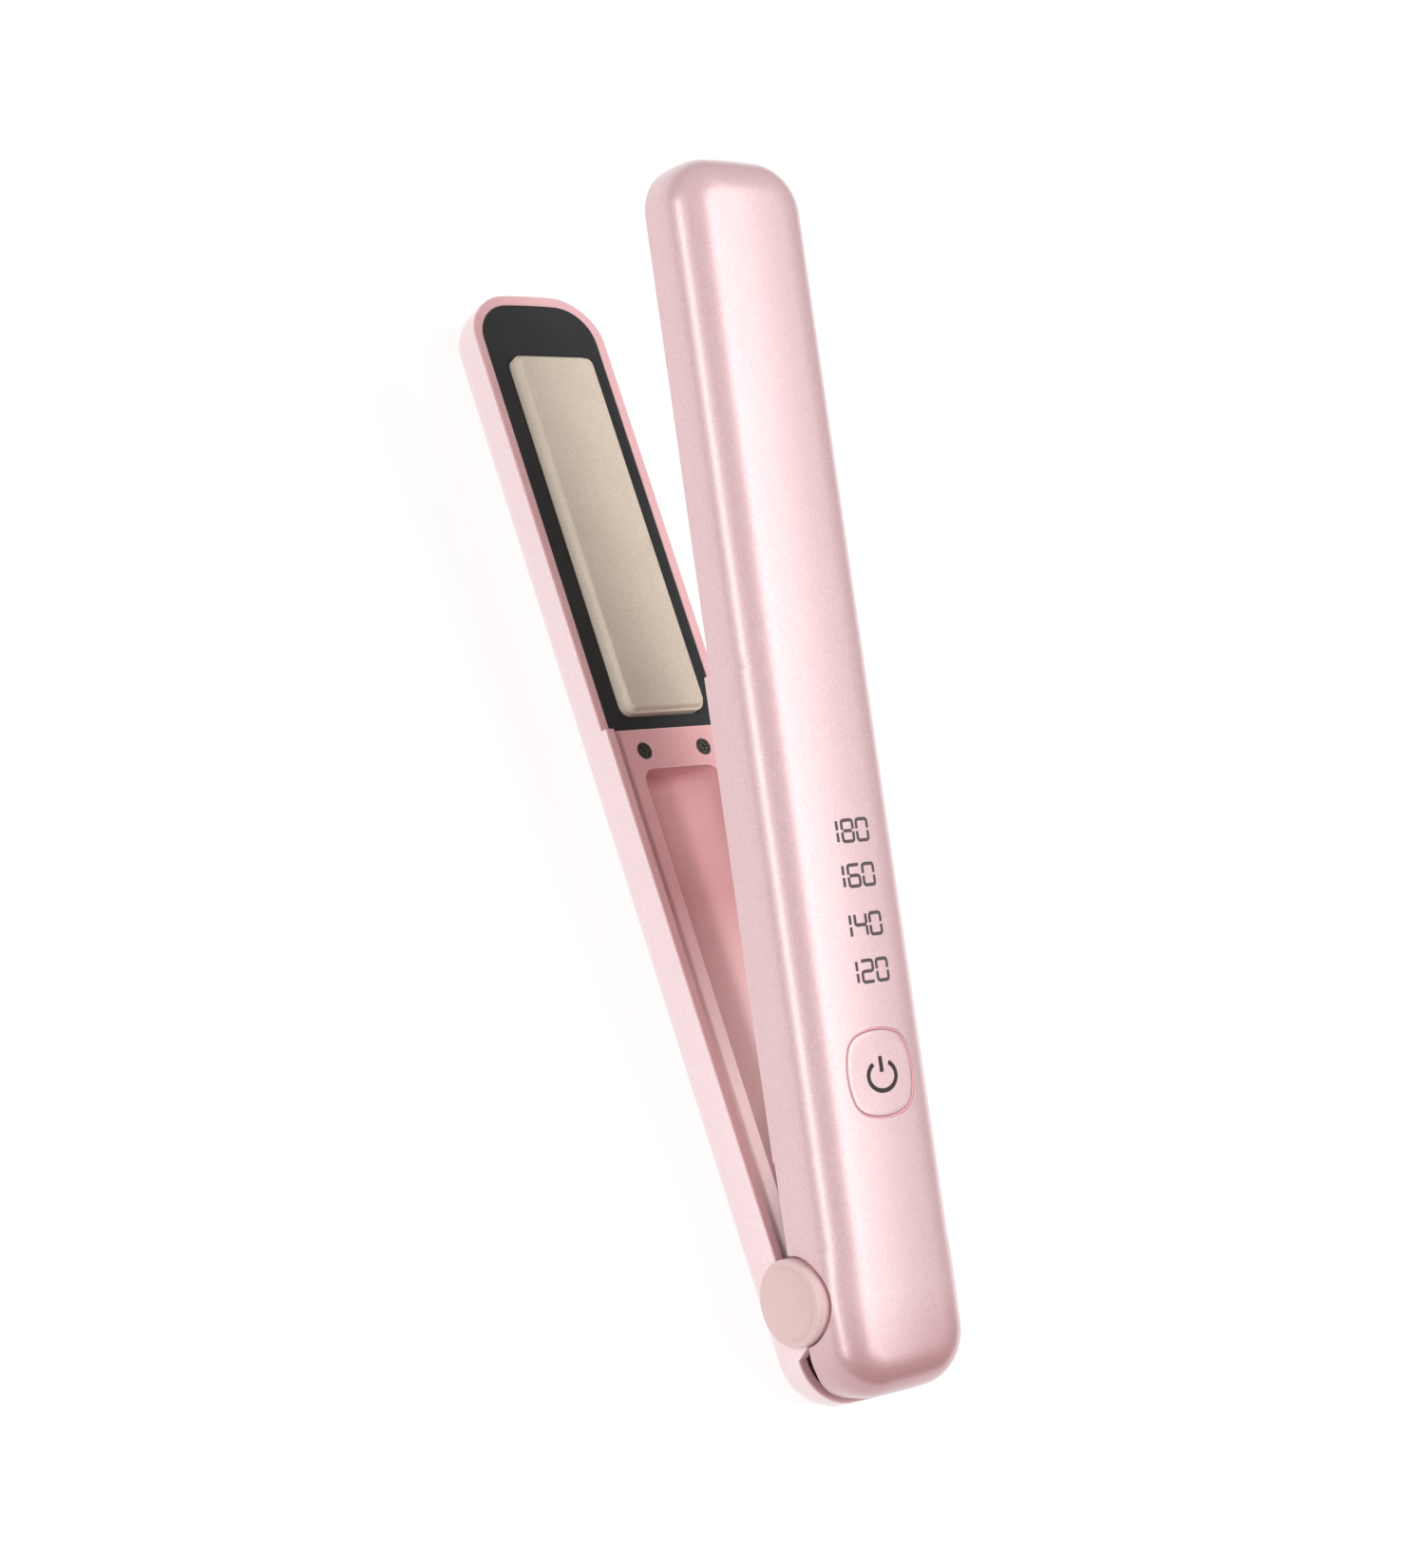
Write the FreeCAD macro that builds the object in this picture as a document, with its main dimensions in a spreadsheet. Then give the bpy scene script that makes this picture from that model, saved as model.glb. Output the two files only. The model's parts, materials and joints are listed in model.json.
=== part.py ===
import FreeCAD, Part
import math
import os
import Sketcher

# A cordless mini flat iron: two arms on a hinge at the heel, a heating plate in each.
# Every sub-part is drawn with its arm lying level: x runs from the hinge axis to the tip,
# y across the arm, z out of the upper arm's top, and the hinge axis is x = 0, z = 0.
# Placements then stand the lower arm on z = 0 and swing the upper arm open.
# Pieces around the plates are drawn once, z = 0 on the arm's rim and -z into the arm.

DOC = FreeCAD.newDocument("flat_iron")
SHEET = DOC.addObject("Spreadsheet::Sheet", "Sizes")

DRIVING = (
    # both arms
    ("arm_width", 28.3, "width of both arms"),
    ("tip_reach", 183.3, "hinge axis to tip"),
    ("heel_reach", 16.7, "hinge axis to heel"),
    ("corner_radius", 9.0, "corner of the arms in plan"),
    ("end_crown", 0.8, "bulge of both ends in plan"),
    ("wall", 1.9, "wall of both shells"),
    ("open_angle", 15.3, "angle between the arms at the stop"),
    ("step_reach", 99.6, "where the plate half meets the handle half"),
    ("fit_gap", 0.05, "gap between pieces that fit in each other"),
    # upper arm
    ("upper_top", 10.8, "outer face of the upper arm"),
    ("upper_round", 6.8, "rounding of its long edges"),
    ("upper_rim", 0.6, "rim around the plate"),
    ("upper_skirt", -0.95, "edge of the side walls along the handle"),
    ("heel_skirt", -0.6, "edge of the side walls near the hinge"),
    ("heel_skirt_reach", 22.0, "where that edge starts"),
    ("heel_lift", 1.5, "edge of the side walls behind the hinge"),
    ("lift_start", -5.0, "where that edge starts"),
    ("lift_bend", -11.5, "where it starts to fall"),
    ("lift_end", -14.5, "where it falls faster"),
    ("notch_radius", 7.35, "notch in the left side wall for the ear"),
    ("far_notch_radius", 5.95, "notch in the right side wall for the smaller ear"),
    # lower arm
    ("lower_base", -12.5, "outer face of the lower arm"),
    ("lower_round", 6.0, "rounding of its long edges"),
    ("lower_rim", -2.9, "rim around the plate"),
    ("lower_wall_top", -1.7, "edge of the side walls along the handle"),
    ("ear_radius", 7.0, "left ear and its cap"),
    ("far_ear_radius", 5.6, "right ear"),
    ("lug_reach", 7.9, "stop lug behind the ears"),
    ("lug_top", -0.95, "top of the stop lug"),
    ("relief_start", -3.6, "edge of the side walls just behind the lug"),
    ("relief_end", -5.05, "edge of the side walls at the heel"),
    ("seat_start", 5.5, "heel end of the seat under the spring's leg"),
    ("seat_end", 10.5, "tip end of that seat"),
    # plates, from the rim
    ("plate_start", 102.1, "heel end of the plates"),
    ("plate_end", 170.5, "tip end of the plates"),
    ("plate_width", 17.4, "width of the plates"),
    ("plate_corner", 2.0, "corner of the plates in plan"),
    ("plate_edge", 0.5, "rounding of the plates' edge"),
    ("lower_plate_proud", 2.1, "lower plate above its rim"),
    ("upper_plate_proud", 1.1, "upper plate above its rim"),
    ("plate_gap", 0.25, "gap around a plate in its insert"),
    ("plate_travel", 0.6, "how far a plate can sink"),
    ("insert_sink", 0.12, "insert below the rim"),
    ("insert_thick", 1.8, "insert"),
    ("flange_thick", 1.0, "flange under a plate"),
    ("flange_gap", 0.08, "flange under its insert"),
    ("flange_edge", 1.2, "how far the flange reaches past the plate"),
    ("collar_near", 0.3, "inside of the insert's collar, from the flange"),
    ("collar_far", 1.3, "outside of the insert's collar, from the flange"),
    ("heater_thick", 1.6, "ceramic heater"),
    ("heater_half", 4.5, "half the width of the heater"),
    ("clamp_thick", 0.5, "steel clamp under the heater"),
    ("clamp_half", 7.2, "half the width of the clamp"),
    ("sensor_radius", 0.72, "thermistor and thermal fuse"),
    ("float_pad_radius", 2.4, "rubber pads under the clamp"),
    ("shield_thick", 0.4, "mica sheet on the shell"),
    # handle covers, battery and boards
    ("cover_thick", 1.2, "inner covers"),
    ("upper_cover_face", -0.35, "face of the upper inner cover"),
    ("cover_start", 10.7, "heel end of the lower inner cover"),
    ("tongue_start", 7.3, "heel end of its tongues beside the spring"),
    ("tongue_inside", 8.6, "inner side of the tongues, from the middle"),
    ("cell_radius", 7.1, "battery cell"),
    ("cell_length", 65.0, "battery cell"),
    ("cell_start", 20.5, "heel end of the cell"),
    ("cell_height", -1.5, "axis of the cell"),
    ("bulge_radius", 7.9, "outside of the battery bulge"),
    ("bulge_start", 17.0, "heel end of the bulge"),
    ("bulge_end", 88.5, "tip end of the bulge"),
    ("trough_radius", 8.35, "trough that the bulge closes into"),
    ("trough_start", 14.0, "heel end of the trough"),
    ("trough_end", 92.4, "tip end of the trough"),
    ("trough_skin", 0.65, "wall of the trough"),
    ("board_height", 5.9, "underside of both boards"),
    ("board_thick", 1.0, "both boards"),
    ("main_board_start", 24.0, "heel end of the main board"),
    ("main_board_end", 79.5, "tip end of the main board"),
    ("main_board_half", 8.6, "half the width of the main board"),
    ("charge_board_start", -13.6, "heel end of the charge board"),
    ("charge_board_end", 13.5, "tip end of the charge board"),
    ("charge_board_half", 5.0, "half the width of the charge board"),
    ("screw_x", 95.7, "cover screws"),
    ("screw_y", 6.4, "cover screws, each side of the middle"),
    ("screw_head", 1.45, "radius of the cover screws' heads"),
    ("screw_head_thick", 0.7, "screws' heads"),
    ("screw_shank", 0.78, "radius of the cover screws' shanks"),
    ("screw_pilot", 0.8, "radius of their holes in the bosses"),
    ("screw_clearance", 0.95, "radius of their holes in the covers"),
    ("boss_radius", 2.2, "bosses for the cover screws"),
    ("board_screw_x", 44.3, "first pair of board screws"),
    ("board_screw_pitch", 33.3, "from the first pair to the second"),
    ("board_screw_y", 6.6, "board screws, each side of the middle"),
    ("board_screw_head", 1.3, "radius of the board screws' heads"),
    ("board_screw_shank", 0.58, "radius of the board screws' shanks"),
    ("board_screw_pilot", 0.6, "radius of their holes in the bosses"),
    ("board_boss_radius", 1.8, "bosses for the board screws"),
    # button and display
    ("button_x", 33.65, "middle of the button"),
    ("button_y", -0.9, "middle of the button"),
    ("button_size", 13.7, "button, across and along"),
    ("button_corner", 3.85, "button's corners"),
    ("button_corner_offset", 2.6, "corner arcs' centres, from the button's middle"),
    ("seal_width", 0.42, "lip of the seal around the button"),
    ("button_flange", 0.6, "flange that keeps the button in"),
    ("button_flange_gap", 0.45, "that flange under the shell"),
    ("button_travel", 0.4, "how far the button goes in"),
    ("display_y", -1.7, "middle of the numerals"),
    ("first_numeral", 49.9, "numeral nearest the button"),
    ("numeral_pitch", 7.5, "from one numeral to the next"),
    # hinge
    ("pin_radius", 1.5, "hinge pin"),
    ("bush_radius", 2.3, "outside of the hinge bushes"),
    ("bush_flange", 3.2, "radius of the bushes' flanges"),
    ("bush_flange_thick", 0.25, "bushes' flanges"),
    ("running_gap", 0.03, "bush on the pin"),
    ("knuckle_inner", 8.5, "inner face of the knuckles"),
    ("knuckle_outer", 11.9, "outer face of the knuckles"),
    ("knuckle_half", 3.4, "half the knuckles' length, and their reach below the pin's axis"),
    ("bracket_start", -6.0, "heel end of the hinge bracket"),
    ("bracket_length", 15.0, "hinge bracket"),
    ("cap_thick", 2.5, "domed hinge cap on the left ear"),
    ("far_cap_thick", 0.5, "low hinge cap on the right ear"),
    ("far_cap_radius", 5.0, "that cap"),
    ("coil_radius", 2.6, "torsion spring, middle of the wire"),
    ("coil_half", 6.4, "half the length of its coil"),
    ("wire_radius", 0.4, "wire of the torsion spring"),
    ("coil_turns", 5, "whole turns of its coil"),
    ("leg_length", 10.0, "legs of the torsion spring"),
    # inlet
    ("socket_width", 8.94, "USB-C socket"),
    ("socket_height", 3.16, "USB-C socket"),
    ("socket_length", 7.0, "USB-C socket"),
    ("socket_corner", 1.3, "USB-C socket's corners"),
    ("socket_wall", 0.3, "USB-C socket's steel"),
    ("slot_gap", 0.2, "slot in the shell around the socket"),
)


class Dim:
    """A number together with the spreadsheet expression that gives it."""

    def __init__(self, number, text):
        self.number = number
        self.text = text

    def __add__(self, other):
        other = as_dim(other)
        return Dim(self.number + other.number, f"({self.text} + {other.text})")

    def __radd__(self, other):
        return as_dim(other) + self

    def __sub__(self, other):
        other = as_dim(other)
        return Dim(self.number - other.number, f"({self.text} - {other.text})")

    def __rsub__(self, other):
        return as_dim(other) - self

    def __mul__(self, other):
        other = as_dim(other)
        return Dim(self.number * other.number, f"({self.text} * {other.text})")

    def __rmul__(self, other):
        return as_dim(other) * self

    def __truediv__(self, other):
        other = as_dim(other)
        return Dim(self.number / other.number, f"({self.text} / {other.text})")

    def __neg__(self):
        return 0 - self


def as_dim(value):
    return value if isinstance(value, Dim) else Dim(float(value), f"({float(value)})")


class Sizes:
    """The spreadsheet's cells by their aliases."""

    def __init__(self, rows):
        for row, (alias, number, note) in enumerate(rows, start=1):
            SHEET.set(f"A{row}", alias)
            SHEET.set(f"B{row}", str(number))
            SHEET.set(f"C{row}", note)
            SHEET.setAlias(f"B{row}", alias)
        DOC.recompute()
        for alias, _, _ in rows:
            setattr(self, alias, Dim(float(SHEET.get(alias)), f"Sizes.{alias}"))


S = Sizes(DRIVING)

HALF_WIDTH = S.arm_width / 2
INNER_HALF = HALF_WIDTH - S.wall
UPPER_ROOF = S.upper_top - S.wall
LOWER_FLOOR = S.lower_base + S.wall
BOARD_TOP = S.board_height + S.board_thick
PLATE_BACK = -(S.insert_sink + S.insert_thick + S.flange_gap)
BUTTON_BACK = UPPER_ROOF - S.button_flange - S.button_flange_gap
SWITCH_TOP = BUTTON_BACK - S.button_travel - S.fit_gap
HEATER_TOP = PLATE_BACK - S.flange_thick
HEATER_BACK = HEATER_TOP - S.heater_thick
CLAMP_BACK = HEATER_BACK - S.clamp_thick

SUBPARTS = []


# ---- placements ---------------------------------------------------------------------

def turn(axis, angle):
    return FreeCAD.Placement(FreeCAD.Vector(), FreeCAD.Rotation(axis, angle))


def shift(x, y, z):
    return FreeCAD.Placement(FreeCAD.Vector(x, y, z), FreeCAD.Rotation())


Y_AXIS = FreeCAD.Vector(0, 1, 0)
X_AXIS = FreeCAD.Vector(1, 0, 0)
LOWER = shift(0, 0, -S.lower_base.number)
UPPER = LOWER * turn(Y_AXIS, -S.open_angle.number)
FLIPPED = turn(X_AXIS, 180)
PLACES = {
    "lower": LOWER,
    "upper": UPPER,
    "lower_flipped": LOWER * FLIPPED,
    "lower_rim": LOWER * shift(0, 0, S.lower_rim.number),
    "upper_rim": UPPER * shift(0, 0, S.upper_rim.number) * FLIPPED,
}


# ---- sketches -----------------------------------------------------------------------

def add_body(label, place):
    body = DOC.addObject("PartDesign::Body", label)
    body.Label = label
    body.AllowCompound = True
    SUBPARTS.append((body, PLACES[place]))
    return body


def add_sketch(body, plane, offset=0):
    """A sketch on one of the body's origin planes, moved along its normal."""
    sketch = body.newObject("Sketcher::SketchObject", body.Name + "_sketch")
    support = [item for item in body.Origin.OriginFeatures if item.Role == plane][0]
    sketch.AttachmentSupport = [(support, "")]
    sketch.MapMode = "FlatFace"
    sketch.setExpression("AttachmentOffset.Base.z", as_dim(offset).text)
    return sketch


def constrain(sketch, kind, dimension, *where):
    index = sketch.addConstraint(Sketcher.Constraint(kind, *where, dimension.number))
    sketch.setExpression(f"Constraints[{index}]", dimension.text)


def hold_point(sketch, curve, end, point):
    """Hold an end or the centre of a curve at a point given by two dimensions."""
    for kind, other_axis, distance in zip(("DistanceX", "DistanceY"), (-2, -1), point):
        distance = as_dim(distance)
        if distance.number == 0:
            sketch.addConstraint(Sketcher.Constraint("PointOnObject", curve, end, other_axis))
        else:
            constrain(sketch, kind, distance, -1, 1, curve, end)


def flat(point):
    return FreeCAD.Vector(as_dim(point[0]).number, as_dim(point[1]).number, 0)


def outline(sketch, corners, crowns=None):
    """A closed outline, counterclockwise; a side with a crown bulges out as an arc."""
    crowns = crowns or [None] * len(corners)
    first = sketch.GeometryCount
    count = len(corners)
    for index, (corner, crown) in enumerate(zip(corners, crowns)):
        start = flat(corner)
        end = flat(corners[(index + 1) % count])
        if crown is None:
            sketch.addGeometry(Part.LineSegment(start, end), False)
            continue
        half_chord = (end - start).Length / 2
        radius = (half_chord ** 2 + crown.number ** 2) / (2 * crown.number)
        along = (end - start).normalize()
        inward = FreeCAD.Vector(-along.y, along.x, 0)
        centre = (start + end) / 2 + inward * (radius - crown.number)
        angles = [math.atan2(p.y - centre.y, p.x - centre.x) for p in (start, end)]
        circle = Part.Circle(centre, FreeCAD.Vector(0, 0, 1), radius)
        sketch.addGeometry(Part.ArcOfCircle(circle, *angles), False)
    for index in range(count):
        following = first + (index + 1) % count
        sketch.addConstraint(Sketcher.Constraint("Coincident", first + index, 2, following, 1))
    for index, (corner, crown) in enumerate(zip(corners, crowns)):
        hold_point(sketch, first + index, 1, corner)
        if crown is not None:
            chord = chord_length(corner, corners[(index + 1) % count])
            constrain(sketch, "Radius", (chord * chord / 4 + crown * crown) / (2 * crown),
                      first + index)


def chord_length(start, end):
    """Length of a side that runs along one of the sketch's axes."""
    along = as_dim(end[0]) - start[0]
    across = as_dim(end[1]) - start[1]
    longer = along if abs(along.number) > abs(across.number) else across
    return longer if longer.number > 0 else -longer


def rectangle(sketch, x_low, x_high, y_low, y_high):
    outline(sketch, [(x_low, y_low), (x_high, y_low), (x_high, y_high), (x_low, y_high)])


def circle(sketch, centre, radius):
    radius = as_dim(radius)
    curve = sketch.GeometryCount
    normal = FreeCAD.Vector(0, 0, 1)
    sketch.addGeometry(Part.Circle(flat(centre), normal, radius.number), False)
    constrain(sketch, "Radius", radius, curve)
    hold_point(sketch, curve, 3, centre)


def squircle(sketch, grow=0):
    """The button's outline, grown all round: bulging sides joined by tangent corner arcs."""
    reach = S.button_size / 2 + grow
    corner = S.button_corner + grow
    offset = S.button_corner_offset
    inset = offset - reach
    side = (offset * offset + inset * inset - corner * corner) / (2 * (reach - offset - corner))
    back = side.number - reach.number
    sweep_half = math.atan2(offset.number, offset.number + back)
    middle = FreeCAD.Vector(S.button_x.number, S.button_y.number, 0)
    normal = FreeCAD.Vector(0, 0, 1)
    for quarter, (sx, sy) in enumerate(((1, 1), (-1, 1), (-1, -1), (1, -1))):
        start = quarter * math.pi / 2
        side_centre = middle - FreeCAD.Vector(math.cos(start), math.sin(start), 0) * back
        side_circle = Part.Circle(side_centre, normal, side.number)
        sketch.addGeometry(Part.ArcOfCircle(side_circle, start - sweep_half, start + sweep_half), False)
        corner_centre = middle + FreeCAD.Vector(sx, sy, 0) * offset.number
        corner_circle = Part.Circle(corner_centre, normal, corner.number)
        sketch.addGeometry(Part.ArcOfCircle(corner_circle, start + sweep_half,
                                            start + math.pi / 2 - sweep_half), False)
    first = sketch.GeometryCount - 8
    for index in range(8):
        following = first + (index + 1) % 8
        sketch.addConstraint(Sketcher.Constraint("Tangent", first + index, 2, following, 1))
    for index, (sx, sy) in enumerate(((1, 1), (-1, 1), (-1, -1), (1, -1))):
        constrain(sketch, "Radius", side, first + 2 * index)
        constrain(sketch, "Radius", corner, first + 2 * index + 1)
        hold_point(sketch, first + 2 * index + 1, 3,
                   (S.button_x + sx * offset, S.button_y + sy * offset))


def rounded_rectangle(sketch, middle, half_size, corner):
    """A rectangle whose corners are tangent arcs."""
    corner = as_dim(corner)
    x_reach = half_size[0] - corner
    y_reach = half_size[1] - corner
    normal = FreeCAD.Vector(0, 0, 1)
    first = sketch.GeometryCount
    centres = [(middle[0] + sx * x_reach, middle[1] + sy * y_reach)
               for sx, sy in ((1, 1), (-1, 1), (-1, -1), (1, -1))]
    for quarter, centre in enumerate(centres):
        start = quarter * math.pi / 2
        arc = Part.ArcOfCircle(Part.Circle(flat(centre), normal, corner.number),
                               start, start + math.pi / 2)
        following = flat(centres[(quarter + 1) % 4])
        away = FreeCAD.Vector(-math.sin(start), math.cos(start), 0)
        outward = FreeCAD.Vector(math.cos(start + math.pi / 2), math.sin(start + math.pi / 2), 0)
        sketch.addGeometry(arc, False)
        sketch.addGeometry(Part.LineSegment(flat(centre) + outward * corner.number,
                                            following + away * corner.number), False)
    for index in range(8):
        following = first + (index + 1) % 8
        sketch.addConstraint(Sketcher.Constraint("Tangent", first + index, 2, following, 1))
    for quarter, centre in enumerate(centres):
        constrain(sketch, "Radius", corner, first + 2 * quarter)
        hold_point(sketch, first + 2 * quarter, 3, centre)


# ---- features -----------------------------------------------------------------------

def settle(feature):
    """Recompute, and stop where a feature has failed."""
    DOC.recompute()
    if "Invalid" in feature.State or "Error" in feature.State or feature.Shape.isNull():
        raise RuntimeError(f"{feature.Name} failed")
    return feature


def add_feature(body, kind, sketch, length, symmetric=False, reverse=False):
    feature = body.newObject("PartDesign::" + kind, f"{body.Name}_{kind}")
    feature.Profile = sketch
    feature.setExpression("Length", as_dim(length).text)
    feature.SideType = "Symmetric" if symmetric else "One side"
    feature.Reversed = reverse
    sketch.Visibility = False
    return settle(feature)


def pad(body, sketch, length, **options):
    return add_feature(body, "Pad", sketch, length, **options)


def pocket(body, sketch, length, **options):
    """A pocket that is known to have cut something."""
    before = body.Shape.Volume
    feature = add_feature(body, "Pocket", sketch, length, **options)
    if not body.Shape.Volume < before - 1e-6:
        raise RuntimeError(f"{feature.Name} cuts nothing")
    return feature


def revolve(body, sketch, axis):
    feature = body.newObject("PartDesign::Revolution", body.Name + "_Revolution")
    feature.Profile = sketch
    feature.ReferenceAxis = (sketch, [axis])
    feature.Angle = 360
    sketch.Visibility = False
    return settle(feature)


def mirror(body, feature, plane):
    copy = body.newObject("PartDesign::Mirrored", body.Name + "_Mirrored")
    copy.Originals = [feature]
    copy.MirrorPlane = ([item for item in body.Origin.OriginFeatures if item.Role == plane][0], [""])
    body.Tip = copy
    return settle(copy)


def round_edges(body, test, radius):
    """Fillet every edge of the body that passes the test."""
    base = body.Tip
    edges = [f"Edge{n}" for n, edge in enumerate(base.Shape.Edges, start=1) if test(edge)]
    if not edges:
        raise RuntimeError(f"{body.Name} has no edge to round")
    feature = body.newObject("PartDesign::Fillet", body.Name + "_Fillet")
    feature.Base = (base, edges)
    feature.setExpression("Radius", as_dim(radius).text)
    body.Tip = feature
    return settle(feature)


def hollow(body, height, wall):
    """Leave a wall all round and open the flat face at the given height."""
    base = body.Tip
    faces = [f"Face{n}" for n, face in enumerate(base.Shape.Faces, start=1)
             if abs(face.BoundBox.ZMin - height.number) < 1e-4
             and abs(face.BoundBox.ZMax - height.number) < 1e-4]
    feature = body.newObject("PartDesign::Thickness", body.Name + "_Thickness")
    feature.Base = (base, faces)
    feature.setExpression("Value", as_dim(wall).text)
    feature.Reversed = True
    body.Tip = feature
    return settle(feature)


def is_upright(edge):
    box = edge.BoundBox
    return box.XLength < 1e-4 and box.YLength < 1e-4 and box.ZLength > 0.1


def at_height(height):
    def test(edge):
        box = edge.BoundBox
        return abs(box.ZMin - height.number) < 1e-4 and abs(box.ZMax - height.number) < 1e-4
    return test


def block(label, place, x_span, y_span, z_span):
    """A plain rectangular piece."""
    body = add_body(label, place)
    base = add_sketch(body, "XY_Plane", z_span[0])
    rectangle(base, x_span[0], x_span[1], y_span[0], y_span[1])
    pad(body, base, as_dim(z_span[1]) - z_span[0])
    return body


def posts(body, places, radius, z_low, z_high):
    base = add_sketch(body, "XY_Plane", z_low)
    for place in places:
        circle(base, place, radius)
    return pad(body, base, as_dim(z_high) - z_low)


def holes(body, places, radius, z_low, z_high):
    base = add_sketch(body, "XY_Plane", z_low)
    for place in places:
        circle(base, place, radius)
    return pocket(body, base, as_dim(z_high) - z_low, reverse=True)


def both_sides(x, y):
    return [(x, y), (x, -y)]


COVER_SCREWS = both_sides(S.screw_x, S.screw_y)
BOARD_SCREWS = (both_sides(S.board_screw_x, S.board_screw_y)
                + both_sides(S.board_screw_x + S.board_screw_pitch, S.board_screw_y))


# ---- shells -------------------------------------------------------------------------

def arm_block(body, z_low, z_high, flat_face, edge_round):
    base = add_sketch(body, "XY_Plane", z_low)
    low = S.end_crown - S.heel_reach
    high = S.tip_reach - S.end_crown
    corners = [(low, -HALF_WIDTH), (high, -HALF_WIDTH), (high, HALF_WIDTH), (low, HALF_WIDTH)]
    outline(base, corners, [None, S.end_crown, None, S.end_crown])
    pad(body, base, z_high - z_low)
    round_edges(body, is_upright, S.corner_radius)
    round_edges(body, at_height(flat_face), edge_round)


def upper_shell():
    body = add_body("upper_arm_shell", "upper")
    arm_block(body, S.upper_skirt, S.upper_top, S.upper_top, S.upper_round)
    hollow(body, S.upper_skirt, S.wall)
    below = S.upper_skirt - 1
    past_tip = S.tip_reach + 1
    past_heel = -(S.heel_reach + 1)
    # the walls' edge rises clear of the ears, then falls in three runs towards the heel
    falls = (0.25, 1.1, 2.3)
    trim = add_sketch(body, "XZ_Plane")
    rectangle(trim, S.step_reach, past_tip, below, S.upper_rim)
    outline(trim, [
        (past_heel, below), (S.heel_skirt_reach, below), (S.heel_skirt_reach, S.heel_skirt),
        (S.lift_start, S.heel_skirt), (S.lift_start, S.heel_lift),
        (S.lift_bend, S.heel_lift - falls[0]), (S.lift_end, S.heel_lift - falls[1]),
        (past_heel, S.heel_lift - falls[2])])
    pocket(body, trim, S.arm_width + 2, symmetric=True)
    for radius, on_right in ((S.notch_radius, False), (S.far_notch_radius, True)):
        notch = add_sketch(body, "XZ_Plane")
        circle(notch, (0, 0), radius)
        pocket(body, notch, HALF_WIDTH + 1, reverse=on_right)
    button_gap = add_sketch(body, "XY_Plane", UPPER_ROOF - 0.5)
    squircle(button_gap, S.seal_width)
    pocket(body, button_gap, S.wall + 1, reverse=True)
    slot = add_sketch(body, "YZ_Plane", past_heel)
    slot_rise = S.board_height - S.socket_height / 2
    rounded_rectangle(slot, (as_dim(0), slot_rise),
                      (S.socket_width / 2 + S.slot_gap, S.socket_height / 2 + S.slot_gap),
                      S.socket_corner + S.slot_gap + 0.1)
    pocket(body, slot, S.wall + 2, reverse=True)
    cover_back = S.upper_cover_face + S.cover_thick
    bond = 0.5
    screw_depth = 5
    posts(body, COVER_SCREWS, S.boss_radius, cover_back, UPPER_ROOF + bond)
    holes(body, COVER_SCREWS, S.screw_pilot, cover_back - 1, cover_back + screw_depth)
    posts(body, BOARD_SCREWS, S.board_boss_radius, BOARD_TOP, UPPER_ROOF + bond)
    holes(body, BOARD_SCREWS, S.board_screw_pilot, BOARD_TOP - 1, UPPER_ROOF + 0.3)


def lower_shell():
    body = add_body("lower_arm_shell", "lower")
    arm_block(body, S.lower_base, S.lower_wall_top, S.lower_base, S.lower_round)
    hollow(body, S.lower_wall_top, S.wall)
    above = S.lower_wall_top + 1
    past_heel = -(S.heel_reach + 1)
    trim = add_sketch(body, "XZ_Plane")
    rectangle(trim, S.step_reach, S.tip_reach + 1, S.lower_rim, above)
    outline(trim, [
        (past_heel, S.relief_end - 0.15), (-(S.heel_reach - 0.8), S.relief_end),
        (-S.lug_reach, S.relief_start), (-S.lug_reach, above), (past_heel, above)])
    pocket(body, trim, S.arm_width + 2, symmetric=True)
    # each ear's neck carries the stop lug behind it, just under the upper arm's edge
    neck_floor = S.lower_wall_top - 3.5
    for radius, side in ((S.ear_radius, -HALF_WIDTH), (S.far_ear_radius, INNER_HALF)):
        neck = add_sketch(body, "XZ_Plane", side)
        outline(neck, [
            (-S.lug_reach, neck_floor), (radius, neck_floor), (radius, S.lower_wall_top + 0.3),
            (radius - 1, 0), (-radius + 0.3, S.lug_top + 0.3), (-S.lug_reach, S.lug_top)])
        pad(body, neck, S.wall)
        disc = add_sketch(body, "XZ_Plane", side)
        circle(disc, (0, 0), radius)
        pad(body, disc, S.wall)
    bore = add_sketch(body, "XZ_Plane")
    circle(bore, (0, 0), S.pin_radius + 0.01)
    pocket(body, bore, S.arm_width + 2, symmetric=True)
    cover_back = S.lower_rim - S.cover_thick
    bond = 0.5
    screw_depth = 5
    posts(body, COVER_SCREWS, S.boss_radius, LOWER_FLOOR - bond, cover_back)
    holes(body, COVER_SCREWS, S.screw_pilot, cover_back - screw_depth, cover_back + 1)
    spring_seat = add_sketch(body, "XY_Plane", LOWER_FLOOR - bond)
    seat_half = S.coil_half + 1
    rectangle(spring_seat, S.seat_start, S.seat_end, -seat_half, seat_half)
    pad(body, spring_seat, -S.coil_radius - S.wire_radius - LOWER_FLOOR + bond)


# ---- plates, one set for each arm ---------------------------------------------------

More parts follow.
